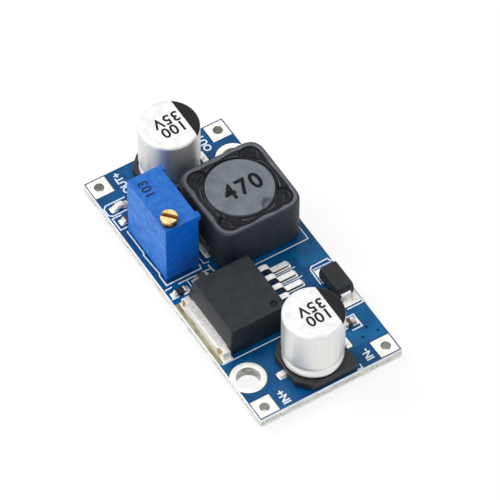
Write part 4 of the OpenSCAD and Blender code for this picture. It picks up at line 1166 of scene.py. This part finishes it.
LOOKS = {"indicator_lamp": chip_finish("lamp_substrate", "A9C49A", "D6E2C6"),
         "lamp_resistor": chip_finish("black_glaze", "151619", "26272B", 0.25),
         "feedback_resistor": chip_finish("brown_glaze", "17181A", "2B2C30", 0.25),
         "feedback_capacitor": chip_finish("brown_ceramic", "433A2C", "5E5240"),
         "bypass_capacitor": chip_finish("tan_ceramic", "3D3026", "5A4A3C")}
END_L = 0.3
cap_tin = tin_finish("cap_tin", "B0ADA4", "ECE8DF", 0.2, 0.03)
for chip in CHIPS:
    core = "indicator_lamp_base" if chip == "indicator_lamp" else chip + "_body"
    core_low, core_high = span(core)
    end_low, end_high = span(chip + "_ends")
    bm = bmesh.new()
    soft_box(bm, core_low, core_high, 0.03)
    add_piece(chip + "_core", bm, LOOKS[chip], [core])
    bm = bmesh.new()
    cap_l = 0.55 if chip == "bypass_capacitor" else END_L
    for y0, y1 in ((end_low.y, end_low.y + cap_l), (end_high.y - cap_l, end_high.y)):
        soft_box(bm, Vector((end_low.x - 0.012, y0, end_low.z)),
                 Vector((end_high.x + 0.012, y1, end_high.z)), 0.06)
    add_piece(chip + "_caps", bm, cap_tin, [chip + "_ends"])

low, high = span("indicator_lamp_lens")
x, y, _ = centre("indicator_lamp_lens")
bm = bmesh.new()
moulding(bm, x, y, high.x - low.x, high.y - low.y,
         [(low.z, 0.0), (low.z + 0.2, 0.01), (high.z - 0.05, 0.03), (high.z, 0.08)], 0.06)
lens = grained("water_clear_lens", "D9DCD0", "F6F6F0", 3, 0.01, 0.12, 2, coat_weight=0.4)
add_piece("indicator_lamp_dome", bm, lens, ["indicator_lamp_lens"])

# ---- Solder ----
# Reflowed solder creeps up each end, lead and clip in a hollow fillet and wets its land.


def meniscus(bm, spot, heading, width, reach, height, tuck=0.08):
    """A fillet that climbs a metal face: hollow in front and sloping away at both ends"""
    out, side = compass(heading)
    rings = []
    for i in range(13):
        share = i / 6 - 1
        full = (1 - abs(share) ** 3.2) ** 0.5 if abs(share) < 1 else 0.0
        crest = height * (0.12 + 0.88 * full)
        foot = reach * (0.35 + 0.65 * full)
        ring = [(-tuck, 0.0), (-tuck, crest)]
        ring += [(foot * k / 7, crest * (1 - k / 7) ** 1.9 + 0.012) for k in range(8)]
        ring.append((foot, 0.0))
        rings.append([Vector(spot) + out * run + side * (share * width / 2) + Vector((0, 0, rise))
                      for run, rise in ring])
    rows = skin(bm, rings)
    bm.faces.new(rows[0])
    bm.faces.new(rows[-1])


bm = bmesh.new()
for chip in CHIPS:
    end_low, end_high = span(chip + "_ends")
    x = centre(chip + "_ends").x
    climb = (end_high.z - end_low.z) * 0.75
    for y, heading in ((end_high.y, 90), (end_low.y, -90)):
        meniscus(bm, (x, y, land_z), heading, 0.86, 0.42, climb)
for can in ("input_capacitor", "output_capacitor"):
    foot_low, foot_high = span(can + "_leads")
    x = centre(can + "_leads").x
    for y, heading in ((foot_high.y, 90), (foot_low.y, -90)):
        meniscus(bm, (x, y, land_z), heading, 0.8, 0.22, 0.2)
for y, heading in ((clip_high.y, 90), (clip_low.y, -90)):
    meniscus(bm, (clip_x, y, land_z), heading, clip_high.x - clip_low.x, 0.5, 0.4)
for x in lead_xs:
    meniscus(bm, (x, lead_high.y, land_z), 90, LEAD_W, 0.36, 0.4)
for x, heading in ((diode_lead_high.x, 0), (diode_lead_low.x, 180)):
    meniscus(bm, (x, diode_y, land_z), heading, DIODE_LEAD_W, 0.6, 0.8)
meniscus(bm, (tab_x, tab_low.y, land_z), -90, 2 * half_in, 0.1, 0.16)
solder = tin_finish("reflowed_solder", "BEBBB2", "F4F1EA", 0.16, 0.03)
add_piece("solder_fillets", bm, solder, ["surface_solder"])
dress("pin_solder", solder, 0.05)
